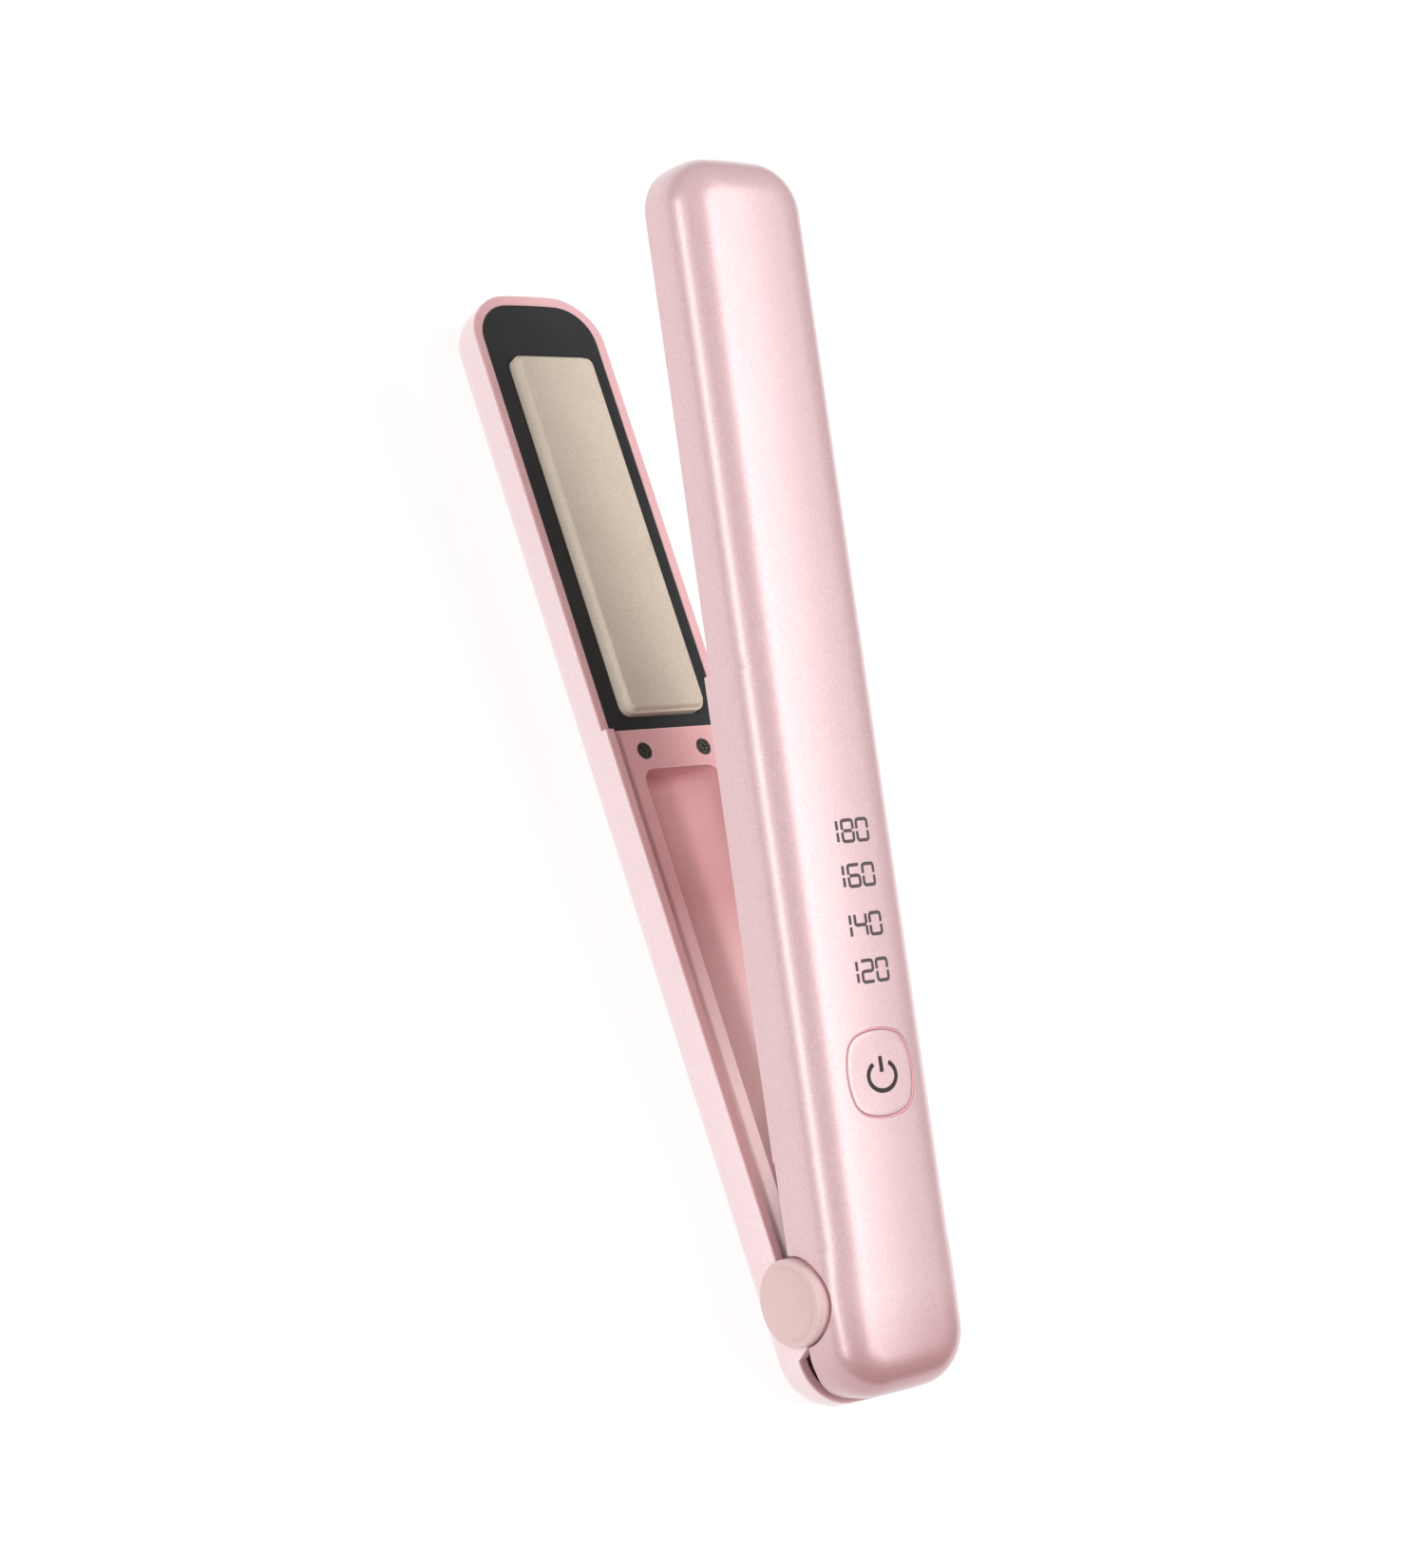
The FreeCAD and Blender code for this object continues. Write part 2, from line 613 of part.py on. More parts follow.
def plate_insert(arm):
    """Heat-resistant frame that fills the rim and guides the floating plate."""
    body = add_body(arm + "_plate_insert", arm + "_rim")
    face = -S.insert_sink
    half = INNER_HALF - S.fit_gap
    base = add_sketch(body, "XY_Plane", face - S.insert_thick)
    end = S.tip_reach - S.wall - S.fit_gap - S.end_crown
    start = S.step_reach + S.fit_gap
    outline(base, [(start, -half), (end, -half), (end, half), (start, half)],
            [None, S.end_crown, None, None])
    pad(body, base, S.insert_thick)

    def at_tip(edge):
        return is_upright(edge) and edge.BoundBox.Center.x > S.plate_end.number

    round_edges(body, at_tip, S.corner_radius - S.wall)
    gap = S.plate_gap
    window = add_sketch(body, "XY_Plane", face)
    rectangle(window, S.plate_start - gap, S.plate_end + gap,
              -S.plate_width / 2 - gap, S.plate_width / 2 + gap)
    pocket(body, window, S.insert_thick)

    def at_window(edge):
        return is_upright(edge) and abs(edge.BoundBox.Center.y) < half.number - 1

    round_edges(body, at_window, S.plate_corner + gap)
    collar = add_sketch(body, "XY_Plane", face - S.insert_thick)
    for grow in (S.collar_near, S.collar_far):
        edge = S.flange_edge + grow
        rectangle(collar, S.plate_start - edge, S.plate_end + edge,
                  -S.plate_width / 2 - edge, S.plate_width / 2 + edge)
    collar_depth = S.flange_thick + S.plate_travel + 1.4
    pad(body, collar, collar_depth, reverse=True)
    wire_exit = add_sketch(body, "XY_Plane", face - S.insert_thick)
    exit_half = 3
    rectangle(wire_exit, S.plate_start - S.flange_edge - 2, S.plate_start - S.flange_edge,
              -exit_half, exit_half)
    pocket(body, wire_exit, collar_depth + 1)


def heating_plate(arm, proud):
    body = add_body(arm + "_heating_plate", arm + "_rim")
    base = add_sketch(body, "XY_Plane", PLATE_BACK)
    rectangle(base, S.plate_start, S.plate_end, -S.plate_width / 2, S.plate_width / 2)
    pad(body, base, proud - PLATE_BACK)
    round_edges(body, is_upright, S.plate_corner)
    round_edges(body, at_height(proud), S.plate_edge)
    flange = add_sketch(body, "XY_Plane", PLATE_BACK)
    edge = S.flange_edge
    rectangle(flange, S.plate_start - edge, S.plate_end + edge,
              -S.plate_width / 2 - edge, S.plate_width / 2 + edge)
    pad(body, flange, S.flange_thick, reverse=True)


def heater_clamp(arm):
    """Spring-steel channel that presses the heater against the plate."""
    body = add_body(arm + "_heater_clamp", arm + "_rim")
    section = add_sketch(body, "YZ_Plane", S.plate_start + 1)
    outer = S.clamp_half
    inner = outer - S.clamp_thick
    outline(section, [
        (-outer, CLAMP_BACK), (outer, CLAMP_BACK), (outer, HEATER_TOP), (inner, HEATER_TOP),
        (inner, HEATER_BACK), (-inner, HEATER_BACK), (-inner, HEATER_TOP), (-outer, HEATER_TOP)])
    pad(body, section, S.plate_end - S.plate_start - 2)


def rod_along_x(label, place, x_span, centre, radius):
    body = add_body(label, place)
    end = add_sketch(body, "YZ_Plane", x_span[0])
    circle(end, centre, radius)
    pad(body, end, as_dim(x_span[1]) - x_span[0])
    return body


def plate_set(arm, proud, depth):
    """Everything around one heating plate; depth is from the rim to the inside of the shell."""
    rim = arm + "_rim"
    plate_insert(arm)
    heating_plate(arm, proud)
    block(arm + "_ceramic_heater", rim, (S.plate_start + 3, S.plate_end - 3),
          (-S.heater_half, S.heater_half), (HEATER_BACK, HEATER_TOP))
    heater_clamp(arm)
    plate_middle = (S.plate_start + S.plate_end) / 2
    beside = S.heater_half + 1.1
    level = HEATER_TOP - S.sensor_radius - 0.13
    rod_along_x(arm + "_thermistor", rim, (plate_middle - 2.3, plate_middle + 2.7),
                (beside, level), S.sensor_radius)
    rod_along_x(arm + "_thermal_fuse", rim, (plate_middle - 18.3, plate_middle - 8.3),
                (-beside, level), S.sensor_radius)
    pads = add_body(arm + "_float_pads", rim)
    pad_y = 4.2
    pad_places = both_sides(S.plate_start + 9, pad_y) + both_sides(S.plate_end - 9, pad_y)
    posts(pads, pad_places, S.float_pad_radius, S.shield_thick - depth, CLAMP_BACK)
    block(arm + "_heat_shield", rim, (S.plate_start, S.plate_end),
          (-S.clamp_half, S.clamp_half), (-depth, S.shield_thick - depth))


# ---- handle covers ------------------------------------------------------------------

def cover_screw_holes(body, face, inward):
    """Clearance holes with a flat seat for the heads; inward is +1 or -1 along z."""
    seat = face + inward * S.screw_head_thick
    back = face + inward * (S.cover_thick + 1)
    spans = [(S.screw_head + 0.12, face - inward, seat),
             (S.screw_clearance, seat - inward * 0.2, back)]
    for radius, start, end in spans:
        low, high = (start, end) if inward > 0 else (end, start)
        holes(body, COVER_SCREWS, radius, low, high)


def upper_inner_cover():
    """Closes the upper handle; its bulge holds the lower half of the battery cell."""
    cover_end = S.step_reach - S.fit_gap
    body = block("upper_inner_cover", "upper", (S.trough_start, cover_end),
                 (-INNER_HALF + S.fit_gap, INNER_HALF - S.fit_gap),
                 (S.upper_cover_face, S.upper_cover_face + S.cover_thick))
    bulge = add_sketch(body, "YZ_Plane", S.bulge_start)
    circle(bulge, (0, S.cell_height), S.bulge_radius)
    pad(body, bulge, S.bulge_end - S.bulge_start)

    def at_bulge_end(edge):
        box = edge.BoundBox
        return box.XLength < 1e-4 and box.ZMin < -8

    round_edges(body, at_bulge_end, 2)
    skin = S.bulge_radius - S.cell_radius
    cavity = add_sketch(body, "YZ_Plane", S.bulge_start + skin)
    circle(cavity, (0, S.cell_height), S.cell_radius + 0.1)
    pocket(body, cavity, S.bulge_end - S.bulge_start - 2 * skin, reverse=True)
    top = add_sketch(body, "XY_Plane", S.upper_cover_face + S.cover_thick)
    rectangle(top, S.bulge_start - 1, S.bulge_end + 1, -9, 9)
    pocket(body, top, 12, reverse=True)
    cover_screw_holes(body, S.upper_cover_face, 1)


def lower_inner_cover():
    """Closes the lower handle; its trough makes room for the battery bulge, and two tongues
    reach past the spring's seat to the hinge."""
    cover_end = S.step_reach - S.fit_gap
    half = INNER_HALF - S.fit_gap
    cover_back = S.lower_rim - S.cover_thick
    body = block("lower_inner_cover", "lower", (S.cover_start, cover_end), (-half, half),
                 (cover_back, S.lower_rim))
    tongues = add_sketch(body, "XY_Plane", cover_back)
    rectangle(tongues, S.tongue_start, S.cover_start, S.tongue_inside, half)
    rectangle(tongues, S.tongue_start, S.cover_start, -half, -S.tongue_inside)
    pad(body, tongues, S.cover_thick)
    end_skin = 0.7
    outside = add_sketch(body, "YZ_Plane", S.trough_start - end_skin)
    circle(outside, (0, S.cell_height), S.trough_radius + S.trough_skin)
    pad(body, outside, S.trough_end - S.trough_start + 2 * end_skin)
    top = add_sketch(body, "XY_Plane", S.lower_rim)
    rectangle(top, S.trough_start - 3, cover_end + 1, -half - 1, half + 1)
    pocket(body, top, 12, reverse=True)
    trough = add_sketch(body, "YZ_Plane", S.trough_start)
    circle(trough, (0, S.cell_height), S.trough_radius)
    pocket(body, trough, S.trough_end - S.trough_start, reverse=True)

    def at_trough_end(edge):
        box = edge.BoundBox
        at_end = abs(box.XMax - S.trough_end.number) < 1e-3 and box.XLength < 1e-4
        return at_end and box.ZMin < S.lower_rim.number - 2 and box.YLength < 16.8

    round_edges(body, at_trough_end, 2.4)
    cover_screw_holes(body, S.lower_rim, -1)


def cover_screws(label, place, face, inward):
    """A pair of black cross-head screws."""
    body = add_body(label, place)
    places = COVER_SCREWS
    head_back = face + inward * S.screw_head_thick
    tip = face + inward * (S.cover_thick + 4)
    spans = [(S.screw_head, face, head_back), (S.screw_shank, head_back, tip)]
    for radius, start, end in spans:
        low, high = (start, end) if inward > 0 else (end, start)
        posts(body, places, radius, low, high)
    cross = add_sketch(body, "XY_Plane", face)
    arm_long, arm_wide = 0.85, 0.17
    for x, y in places:
        corners = [(-arm_long, -arm_wide), (-arm_wide, -arm_wide), (-arm_wide, -arm_long),
                   (arm_wide, -arm_long), (arm_wide, -arm_wide), (arm_long, -arm_wide),
                   (arm_long, arm_wide), (arm_wide, arm_wide), (arm_wide, arm_long),
                   (-arm_wide, arm_long), (-arm_wide, arm_wide), (-arm_long, arm_wide)]
        outline(cross, [(x + dx, y + dy) for dx, dy in corners])
    pocket(body, cross, 0.45, reverse=inward > 0)


# ---- button, boards and battery -----------------------------------------------------

def power_button():
    body = add_body("power_button", "upper")
    flange_top = BUTTON_BACK + S.button_flange
    base = add_sketch(body, "XY_Plane", flange_top)
    squircle(base)
    pad(body, base, S.upper_top - flange_top)
    round_edges(body, at_height(S.upper_top), 0.25)
    flange = add_sketch(body, "XY_Plane", BUTTON_BACK)
    reach = S.button_size / 2 + 0.9
    rectangle(flange, S.button_x - reach, S.button_x + reach,
              S.button_y - reach, S.button_y + reach)
    pad(body, flange, S.button_flange)


def button_seal():
    """Silicone lip that closes the gap around the button."""
    body = add_body("button_seal", "upper")
    base = add_sketch(body, "XY_Plane", UPPER_ROOF)
    squircle(base, S.seal_width - 0.03)
    squircle(base, 0.08)
    pad(body, base, S.wall - 0.12)


def tact_switch():
    body = add_body("tact_switch", "upper")
    half = 2.2
    base = add_sketch(body, "XY_Plane", BOARD_TOP)
    rectangle(base, S.button_x - half, S.button_x + half, S.button_y - half, S.button_y + half)
    pad(body, base, SWITCH_TOP - BOARD_TOP)
    holes(body, [(S.button_x, S.button_y)], 1.05, BOARD_TOP, SWITCH_TOP)
    plunger = add_body("switch_plunger", "upper")
    posts(plunger, [(S.button_x, S.button_y)], 0.95, BOARD_TOP + S.button_travel + S.fit_gap,
          BUTTON_BACK)


def boards():
    main = block("main_board", "upper", (S.main_board_start, S.main_board_end),
                 (-S.main_board_half, S.main_board_half), (S.board_height, BOARD_TOP))
    screw_play = 0.17
    holes(main, BOARD_SCREWS, S.board_screw_shank + screw_play, S.board_height - 0.5,
          BOARD_TOP + 0.5)
    screws = add_body("board_screws", "upper")
    posts(screws, BOARD_SCREWS, S.board_screw_head, S.board_height - S.screw_head_thick,
          S.board_height)
    posts(screws, BOARD_SCREWS, S.board_screw_shank, S.board_height, UPPER_ROOF)
    block("charge_board", "upper", (S.charge_board_start, S.charge_board_end),
          (-S.charge_board_half, S.charge_board_half), (S.board_height, BOARD_TOP))
    cable_half, cable_lift, cable_thick, end_gap = 3.5, 0.3, 0.3, 0.1
    block("board_link_cable", "upper", (S.charge_board_end + end_gap, S.main_board_start - end_gap),
          (-cable_half, cable_half),
          (S.board_height + cable_lift, S.board_height + cable_lift + cable_thick))
    chips = add_body("control_chips", "upper")
    sketch = add_sketch(chips, "XY_Plane", BOARD_TOP)
    charger, controller = (26.4, 31.4, 7.2, 8.4), (41.6, 43.6, -3, 1)
    for chip in (charger, controller):
        rectangle(sketch, *chip)
    chip_thick = 0.8
    pad(chips, sketch, chip_thick)
    display()


def display():
    """A lamp behind each numeral, and the light guide over them."""
    lamps = add_body("display_lamps", "upper")
    sketch = add_sketch(lamps, "XY_Plane", BOARD_TOP)
    numerals, half_long, half_wide, lamp_thick = 4, 0.8, 1.6, 0.7
    for number in range(numerals):
        x = S.first_numeral + number * S.numeral_pitch
        rectangle(sketch, x - half_long, x + half_long,
                  S.display_y - half_wide, S.display_y + half_wide)
    pad(lamps, sketch, lamp_thick)
    last_numeral = S.first_numeral + (numerals - 1) * S.numeral_pitch
    margin, guide_half = 2.6, 4.4
    block("display_light_guide", "upper",
          (S.first_numeral - margin, last_numeral + margin + 0.4),
          (S.display_y - guide_half, S.display_y + guide_half),
          (BOARD_TOP + lamp_thick + 0.1, UPPER_ROOF))


def battery():
    """One cylindrical lithium cell with its tabs, tape and leads."""
    cell_end = S.cell_start + S.cell_length
    axis = (0, S.cell_height)
    cell = rod_along_x("battery_cell", "upper", (S.cell_start, cell_end), axis, S.cell_radius)

    def at_cell_end(edge):
        return edge.BoundBox.XLength < 1e-4

    round_edges(cell, at_cell_end, 0.6)
    tabs = add_body("battery_tabs", "upper")
    nickel = 0.2
    for start in (S.cell_start - nickel, cell_end):
        strip = add_sketch(tabs, "YZ_Plane", start)
        rectangle(strip, -2, 2, S.cell_height - 3, S.cell_height + 5.5)
        pad(tabs, strip, nickel)
    block("battery_tape", "upper", (30, 72), (-2.5, 2.5),
          (S.cell_height + S.cell_radius, S.board_height - 0.05))


def usb_socket():
    """Steel shell of the charging socket and the contact tongue inside it."""
    start = -S.heel_reach + 0.35
    rise = S.board_height - S.socket_height / 2
    body = add_body("usb_c_socket", "upper")
    for inset, feature, length in ((0, pad, S.socket_length),
                                   (S.socket_wall, pocket, S.socket_length - S.socket_wall)):
        section = add_sketch(body, "YZ_Plane", start)
        rounded_rectangle(section, (as_dim(0), rise),
                          (S.socket_width / 2 - inset, S.socket_height / 2 - inset),
                          S.socket_corner - inset)
        feature(body, section, length, reverse=feature is pocket)
    tongue_half, tongue_width_half, tongue_recess = 0.35, 3.3, 1.2
    block("usb_c_tongue", "upper",
          (start + tongue_recess, start + S.socket_length - S.socket_wall),
          (-tongue_width_half, tongue_width_half), (rise - tongue_half, rise + tongue_half))


# ---- hinge --------------------------------------------------------------------------

def hinge_bracket():
    """Nylon bracket bonded under the upper shell's roof, with the two knuckles."""
    body = add_body("hinge_bracket", "upper")
    section = add_sketch(body, "YZ_Plane", S.bracket_start)
    outer, inner, low = S.knuckle_outer, S.knuckle_inner, -S.knuckle_half
    web = BOARD_TOP + 0.3
    # the shoulders stay inside the rounding of the shell's roof
    shoulders = [(outer, 5.0), (9.9, 7.4), (7.2, UPPER_ROOF)]
    outline(section, [(-outer, low), (-inner, low), (-inner, web), (inner, web), (inner, low),
                      (outer, low)] + shoulders + [(-y, z) for y, z in reversed(shoulders)])
    pad(body, section, S.bracket_length)
    undercut = add_sketch(body, "XZ_Plane")
    below = low - 0.6
    back = S.bracket_start - 1
    front = S.bracket_start + S.bracket_length + 1
    slope_low, slope_high = 1, 4
    outline(undercut, [(back, below), (low, below), (low, slope_low), (back, slope_high)])
    outline(undercut, [(S.knuckle_half, below), (front, below), (front, slope_high),
                       (S.knuckle_half, slope_low)])
    pocket(body, undercut, S.arm_width, symmetric=True)

    def under_knuckle(edge):
        box = edge.BoundBox
        level = abs(box.Center.z - low.number) < 1e-3
        return level and box.XLength < 1e-4 and box.ZLength < 1e-4

    round_edges(body, under_knuckle, 3)
    seat = add_sketch(body, "XY_Plane", S.coil_radius + S.wire_radius)
    seat_start, seat_end, seat_inside = 5, 9, 5.4
    rectangle(seat, seat_start, seat_end, seat_inside, S.knuckle_inner + 0.5)
    pad(body, seat, BOARD_TOP + 0.8 - S.coil_radius - S.wire_radius)
    bore = add_sketch(body, "XZ_Plane")
    circle(bore, (0, 0), S.bush_radius)
    pocket(body, bore, S.arm_width, symmetric=True)


def hinge_bushes():
    """Two flanged bushes, pressed into the knuckles and turning on the pin."""
    body = add_body("hinge_bushes", "upper")
    half = add_sketch(body, "XY_Plane")
    bore = S.pin_radius + S.running_gap
    outer = S.knuckle_outer
    end = outer + S.bush_flange_thick
    outline(half, [
        (bore, S.knuckle_inner), (S.bush_radius, S.knuckle_inner), (S.bush_radius, outer),
        (S.bush_flange, outer), (S.bush_flange, end), (bore, end)])
    mirror(body, revolve(body, half, "V_Axis"), "XZ_Plane")


def hinge_pin():
    body = add_body("hinge_pin", "lower")
    section = add_sketch(body, "XZ_Plane")
    circle(section, (0, 0), S.pin_radius)
    pad(body, section, S.arm_width - 0.1, symmetric=True)
    round_edges(body, lambda edge: edge.BoundBox.YLength < 1e-4, 0.3)


def hinge_cap(label, place, radius, thick, edge_round):
    """Plain domed disc on the outside of an ear."""
    body = add_body(label, place)
    half = add_sketch(body, "XY_Plane")
    rim, shoulder, shoulder_inset = thick * 0.8, thick * 0.95, 3.2
    outline(half, [(0, HALF_WIDTH), (radius, HALF_WIDTH), (radius, HALF_WIDTH + rim),
                   (radius - shoulder_inset, HALF_WIDTH + shoulder), (0, HALF_WIDTH + thick)])
    revolve(body, half, "V_Axis")
    far = (HALF_WIDTH + rim).number

    def at_rim(edge):
        box = edge.BoundBox
        return box.YLength < 1e-4 and abs(box.Center.y - far) < 1e-3

    round_edges(body, at_rim, edge_round)


# ---- pieces swept along a path ------------------------------------------------------

def add_feature_shape(label, place, shape):
    feature = DOC.addObject("Part::Feature", label)
    feature.Label = label
    feature.Shape = shape
    SUBPARTS.append((feature, PLACES[place]))
    return feature


def sweep(path, start, direction, radius):
    ring = Part.Wire(Part.makeCircle(radius, start, direction))
    return path.makePipeShell([ring], True, True)


def rounded_path(points, bend):
    """Straight runs joined by tangent arcs of one radius."""
    points = [FreeCAD.Vector(*point) for point in points]
    edges = []
    start = points[0]
    for before, corner, after in zip(points, points[1:], points[2:]):
        back = (before - corner).normalize()
        onward = (after - corner).normalize()
        half_angle = back.getAngle(onward) / 2
        cut = bend / math.tan(half_angle)
        arc_start = corner + back * cut
        arc_end = corner + onward * cut
        bisector = (back + onward).normalize()
        middle = corner + bisector * (bend / math.sin(half_angle) - bend)
        edges.append(Part.LineSegment(start, arc_start).toShape())
        edges.append(Part.Arc(arc_start, middle, arc_end).toShape())
        start = arc_end
    edges.append(Part.LineSegment(start, points[-1]).toShape())
    return Part.Wire(edges)


def wires(label, place, routes, radius, bend):
    solids = []
    for route in routes:
        first, second = (FreeCAD.Vector(*point) for point in route[:2])
        solids.append(sweep(rounded_path(route, bend), first, second - first, radius))
    shape = solids[0] if len(solids) == 1 else Part.makeCompound(solids)
    return add_feature_shape(label, place, shape)


def torsion_spring():
    """Coil around the hinge pin whose legs push the arms apart."""
    radius = S.coil_radius.number
    turns = S.coil_turns.number + (180 - S.open_angle.number) / 360
    half = S.coil_half.number
    leg = S.leg_length.number
    coil = Part.makeHelix(2 * half / turns, 2 * half, radius)
    # the helix climbs +Z from the +X side: turn it to climb +Y from under the pin
    coil.transformShape(turn(X_AXIS, -90).toMatrix())
    coil.transformShape(turn(Y_AXIS, 90).toMatrix())
    coil.transformShape(shift(0, -half, 0).toMatrix())
    edge = coil.Edges[0]
    ends = []
    for parameter, away in ((edge.FirstParameter, -1), (edge.LastParameter, 1)):
        point = edge.valueAt(parameter)
        ends.append((point, point + edge.tangentAt(parameter) * away * leg))
    first_leg = Part.LineSegment(ends[0][1], ends[0][0]).toShape()
    last_leg = Part.LineSegment(ends[1][0], ends[1][1]).toShape()
    path = Part.Wire([first_leg] + coil.Edges + [last_leg])
    shape = sweep(path, ends[0][1], ends[0][0] - ends[0][1], S.wire_radius.number)
    add_feature_shape("torsion_spring", "lower", shape)
    print("spring legs", [tuple(round(value, 2) for value in tip) for _, tip in ends])


def wiring():
    board = S.board_height.number
    board_start, board_end = S.main_board_start.number, S.main_board_end.number
    heater = S.plate_start.number + 3
    upper_level = S.upper_rim.number - (HEATER_TOP - S.heater_thick / 2).number
    wires("upper_heater_wires", "upper",
          [[(heater, y, upper_level), (heater - 4, y, upper_level),
            (board_end + 2.5, y, board + 0.5), (board_end, y, board + 0.5)]
           for y in (-1.6, 1.6)], 0.55, 1.5)
    lower_level = S.lower_rim.number + (HEATER_TOP - S.heater_thick / 2).number
    wires("lower_heater_wires", "lower",
          [[(heater, side * 1.6, lower_level), (98.8, side * 1.6, lower_level),
            (98.8, side * 10.6, lower_level), (14, side * 10.6, lower_level)]
           for side in (-1, 1)], 0.55, 1.0)
    tilt = turn(Y_AXIS, -S.open_angle.number)
    arrivals = [tilt.multVec(FreeCAD.Vector(*point)) for point in ((-3.5, 7.5, 3.2), (-3.5, 5.0, 5.2))]
    wires("hinge_wire_loom", "lower",
          [[(14, 10.6, lower_level), (9, 10.4, lower_level), (2, 8.2, -6.2), (-4.2, 7.6, -3.2)]
           + [tuple(point) for point in arrivals]], 0.6, 1.3)
    cell_end = (S.cell_start + S.cell_length).number
    wires("battery_leads", "upper",
          [[(cell_end + 0.2, 2.6, board - 1.4), (cell_end + 1.8, 2.6, board - 1.2),
            (cell_end + 1.8, 5.6, board + 0.5), (board_end, 5.6, board + 0.5)],
           [(20.2, -2.6, board - 1.5), (18.2, -2.6, board - 1.2),
            (18.2, -5.6, board + 0.5), (board_start, -5.6, board + 0.5)]], 0.45, 0.9)


def build_all():
    upper_shell()
    lower_shell()
    plate_set("lower", S.lower_plate_proud, S.lower_rim - LOWER_FLOOR)
    plate_set("upper", S.upper_plate_proud, UPPER_ROOF - S.upper_rim)
    upper_inner_cover()
    lower_inner_cover()
    cover_screws("upper_cover_screws", "upper", S.upper_cover_face, 1)
    cover_screws("lower_cover_screws", "lower", S.lower_rim, -1)
    power_button()
    button_seal()
    tact_switch()
    boards()
    battery()
    usb_socket()
    hinge_bracket()
    hinge_bushes()
    hinge_pin()
    hinge_cap("left_hinge_cap", "lower", S.ear_radius, S.cap_thick, 1.3)
    hinge_cap("right_hinge_cap", "lower_flipped", S.far_cap_radius, S.far_cap_thick, 0.25)
    torsion_spring()
    wiring()


def whole_box():
    box = FreeCAD.BoundBox()
    for subpart, _ in SUBPARTS:
        box.add(subpart.Shape.optimalBoundingBox(False, False))
    return box


def write_parts():
    DOC.recompute()
    for item in DOC.Objects:
        if "Invalid" in item.State or "Error" in item.State:
            raise RuntimeError(f"{item.Name} failed: {item.State}")
    for subpart, place in SUBPARTS:
        subpart.Placement = place
    # the origin lies under the middle of the object's length, midway across the arms
    hinge_x = -whole_box().Center.x
    for subpart, place in SUBPARTS:
        subpart.Placement = shift(hinge_x, 0, 0) * place
    DOC.recompute()
    os.makedirs("parts", exist_ok=True)
    for subpart, _ in SUBPARTS:
        shape = subpart.Shape
        if shape.isNull() or not shape.isValid() or not shape.Solids:
            raise RuntimeError(f"{subpart.Label} has no valid solid")
        shape.exportStep(f"parts/{subpart.Label}.step")
        print(f"{subpart.Label:24s} solids {len(shape.Solids)}  volume {shape.Volume:9.1f}")
    print("hinge at x", hinge_x, whole_box())


build_all()
write_parts()
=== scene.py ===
import json
import math

import bmesh
import bpy
from mathutils import Matrix, Vector


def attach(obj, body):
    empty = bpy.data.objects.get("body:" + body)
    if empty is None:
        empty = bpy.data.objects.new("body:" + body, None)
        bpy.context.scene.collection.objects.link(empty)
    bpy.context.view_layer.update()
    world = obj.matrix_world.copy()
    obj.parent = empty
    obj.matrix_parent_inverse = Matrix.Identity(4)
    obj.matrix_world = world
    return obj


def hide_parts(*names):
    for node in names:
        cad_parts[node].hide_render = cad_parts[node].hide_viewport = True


# A cordless mini flat iron, open, lying on its lower arm. Each arm is shaped in its own level
# frame: x from the hinge axis to the tip, y across, z out of the upper arm's top, in metres.

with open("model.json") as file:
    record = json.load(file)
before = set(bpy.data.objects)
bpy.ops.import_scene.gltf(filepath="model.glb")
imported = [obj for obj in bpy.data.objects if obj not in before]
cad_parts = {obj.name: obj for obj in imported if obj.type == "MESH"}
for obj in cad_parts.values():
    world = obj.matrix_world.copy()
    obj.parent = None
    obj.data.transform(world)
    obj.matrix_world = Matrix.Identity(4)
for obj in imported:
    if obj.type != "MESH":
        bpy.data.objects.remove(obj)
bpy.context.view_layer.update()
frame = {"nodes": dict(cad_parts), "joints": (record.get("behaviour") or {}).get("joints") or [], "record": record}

MM = 0.001

# ---- where the arms are ---------------------------------------------------------------

hinge_joint = next(joint for joint in frame["joints"] if joint["name"] == "arm_hinge")
HINGE = Vector(hinge_joint["pos_m"])
OPEN_ANGLE = math.radians(hinge_joint["range_deg"][1])
LOWER = Matrix.Translation(HINGE)
UPPER = LOWER @ Matrix.Rotation(-OPEN_ANGLE, 4, "Y")

# ---- sizes, as in the design ----------------------------------------------------------

HALF_WIDTH = 14.15 * MM
HEEL = -16.7 * MM
TIP = 183.3 * MM
CORNER = 9.0 * MM           # in plan
END_CROWN = 0.8 * MM        # the tip's and the heel's bulge in plan
END_REACH = 15.0 * MM       # and how far from the end it starts
WALL = 1.9 * MM
STEP = 99.6 * MM            # the handle ends and the rim round the plate starts
UPPER_TOP = 10.8 * MM
LOWER_BASE = 12.5 * MM
UPPER_ROUNDING = 7.4 * MM
LOWER_ROUNDING = 6.9 * MM
UPPER_CROWN = 0.95 * MM     # the outer faces' bulge across the arm
LOWER_CROWN = 0.4 * MM
UPPER_RIM = 0.6 * MM        # the rims' edges beside the plates, towards the outer face
LOWER_RIM = 2.9 * MM
SHOULDER = -5.0 * MM        # the upper wall gets deeper here, and a little more at the jog
JOG = 22.0 * MM
LUG = -7.9 * MM             # the lower wall's stop lug ends here, towards the heel
EAR_RADIUS = {"left": 7.0 * MM, "right": 5.6 * MM}
NOTCH_GAP = 0.35 * MM
CAP_RADIUS = {"left": 7.0 * MM, "right": 5.0 * MM}
CAP_THICK = {"left": 2.5 * MM, "right": 0.5 * MM}
SLOT_HALF = 4.67 * MM       # the inlet's slot in the upper heel
SLOT_LOW = 2.54 * MM
SLOT_HIGH = 6.1 * MM
SLOT_CORNER = 1.6 * MM
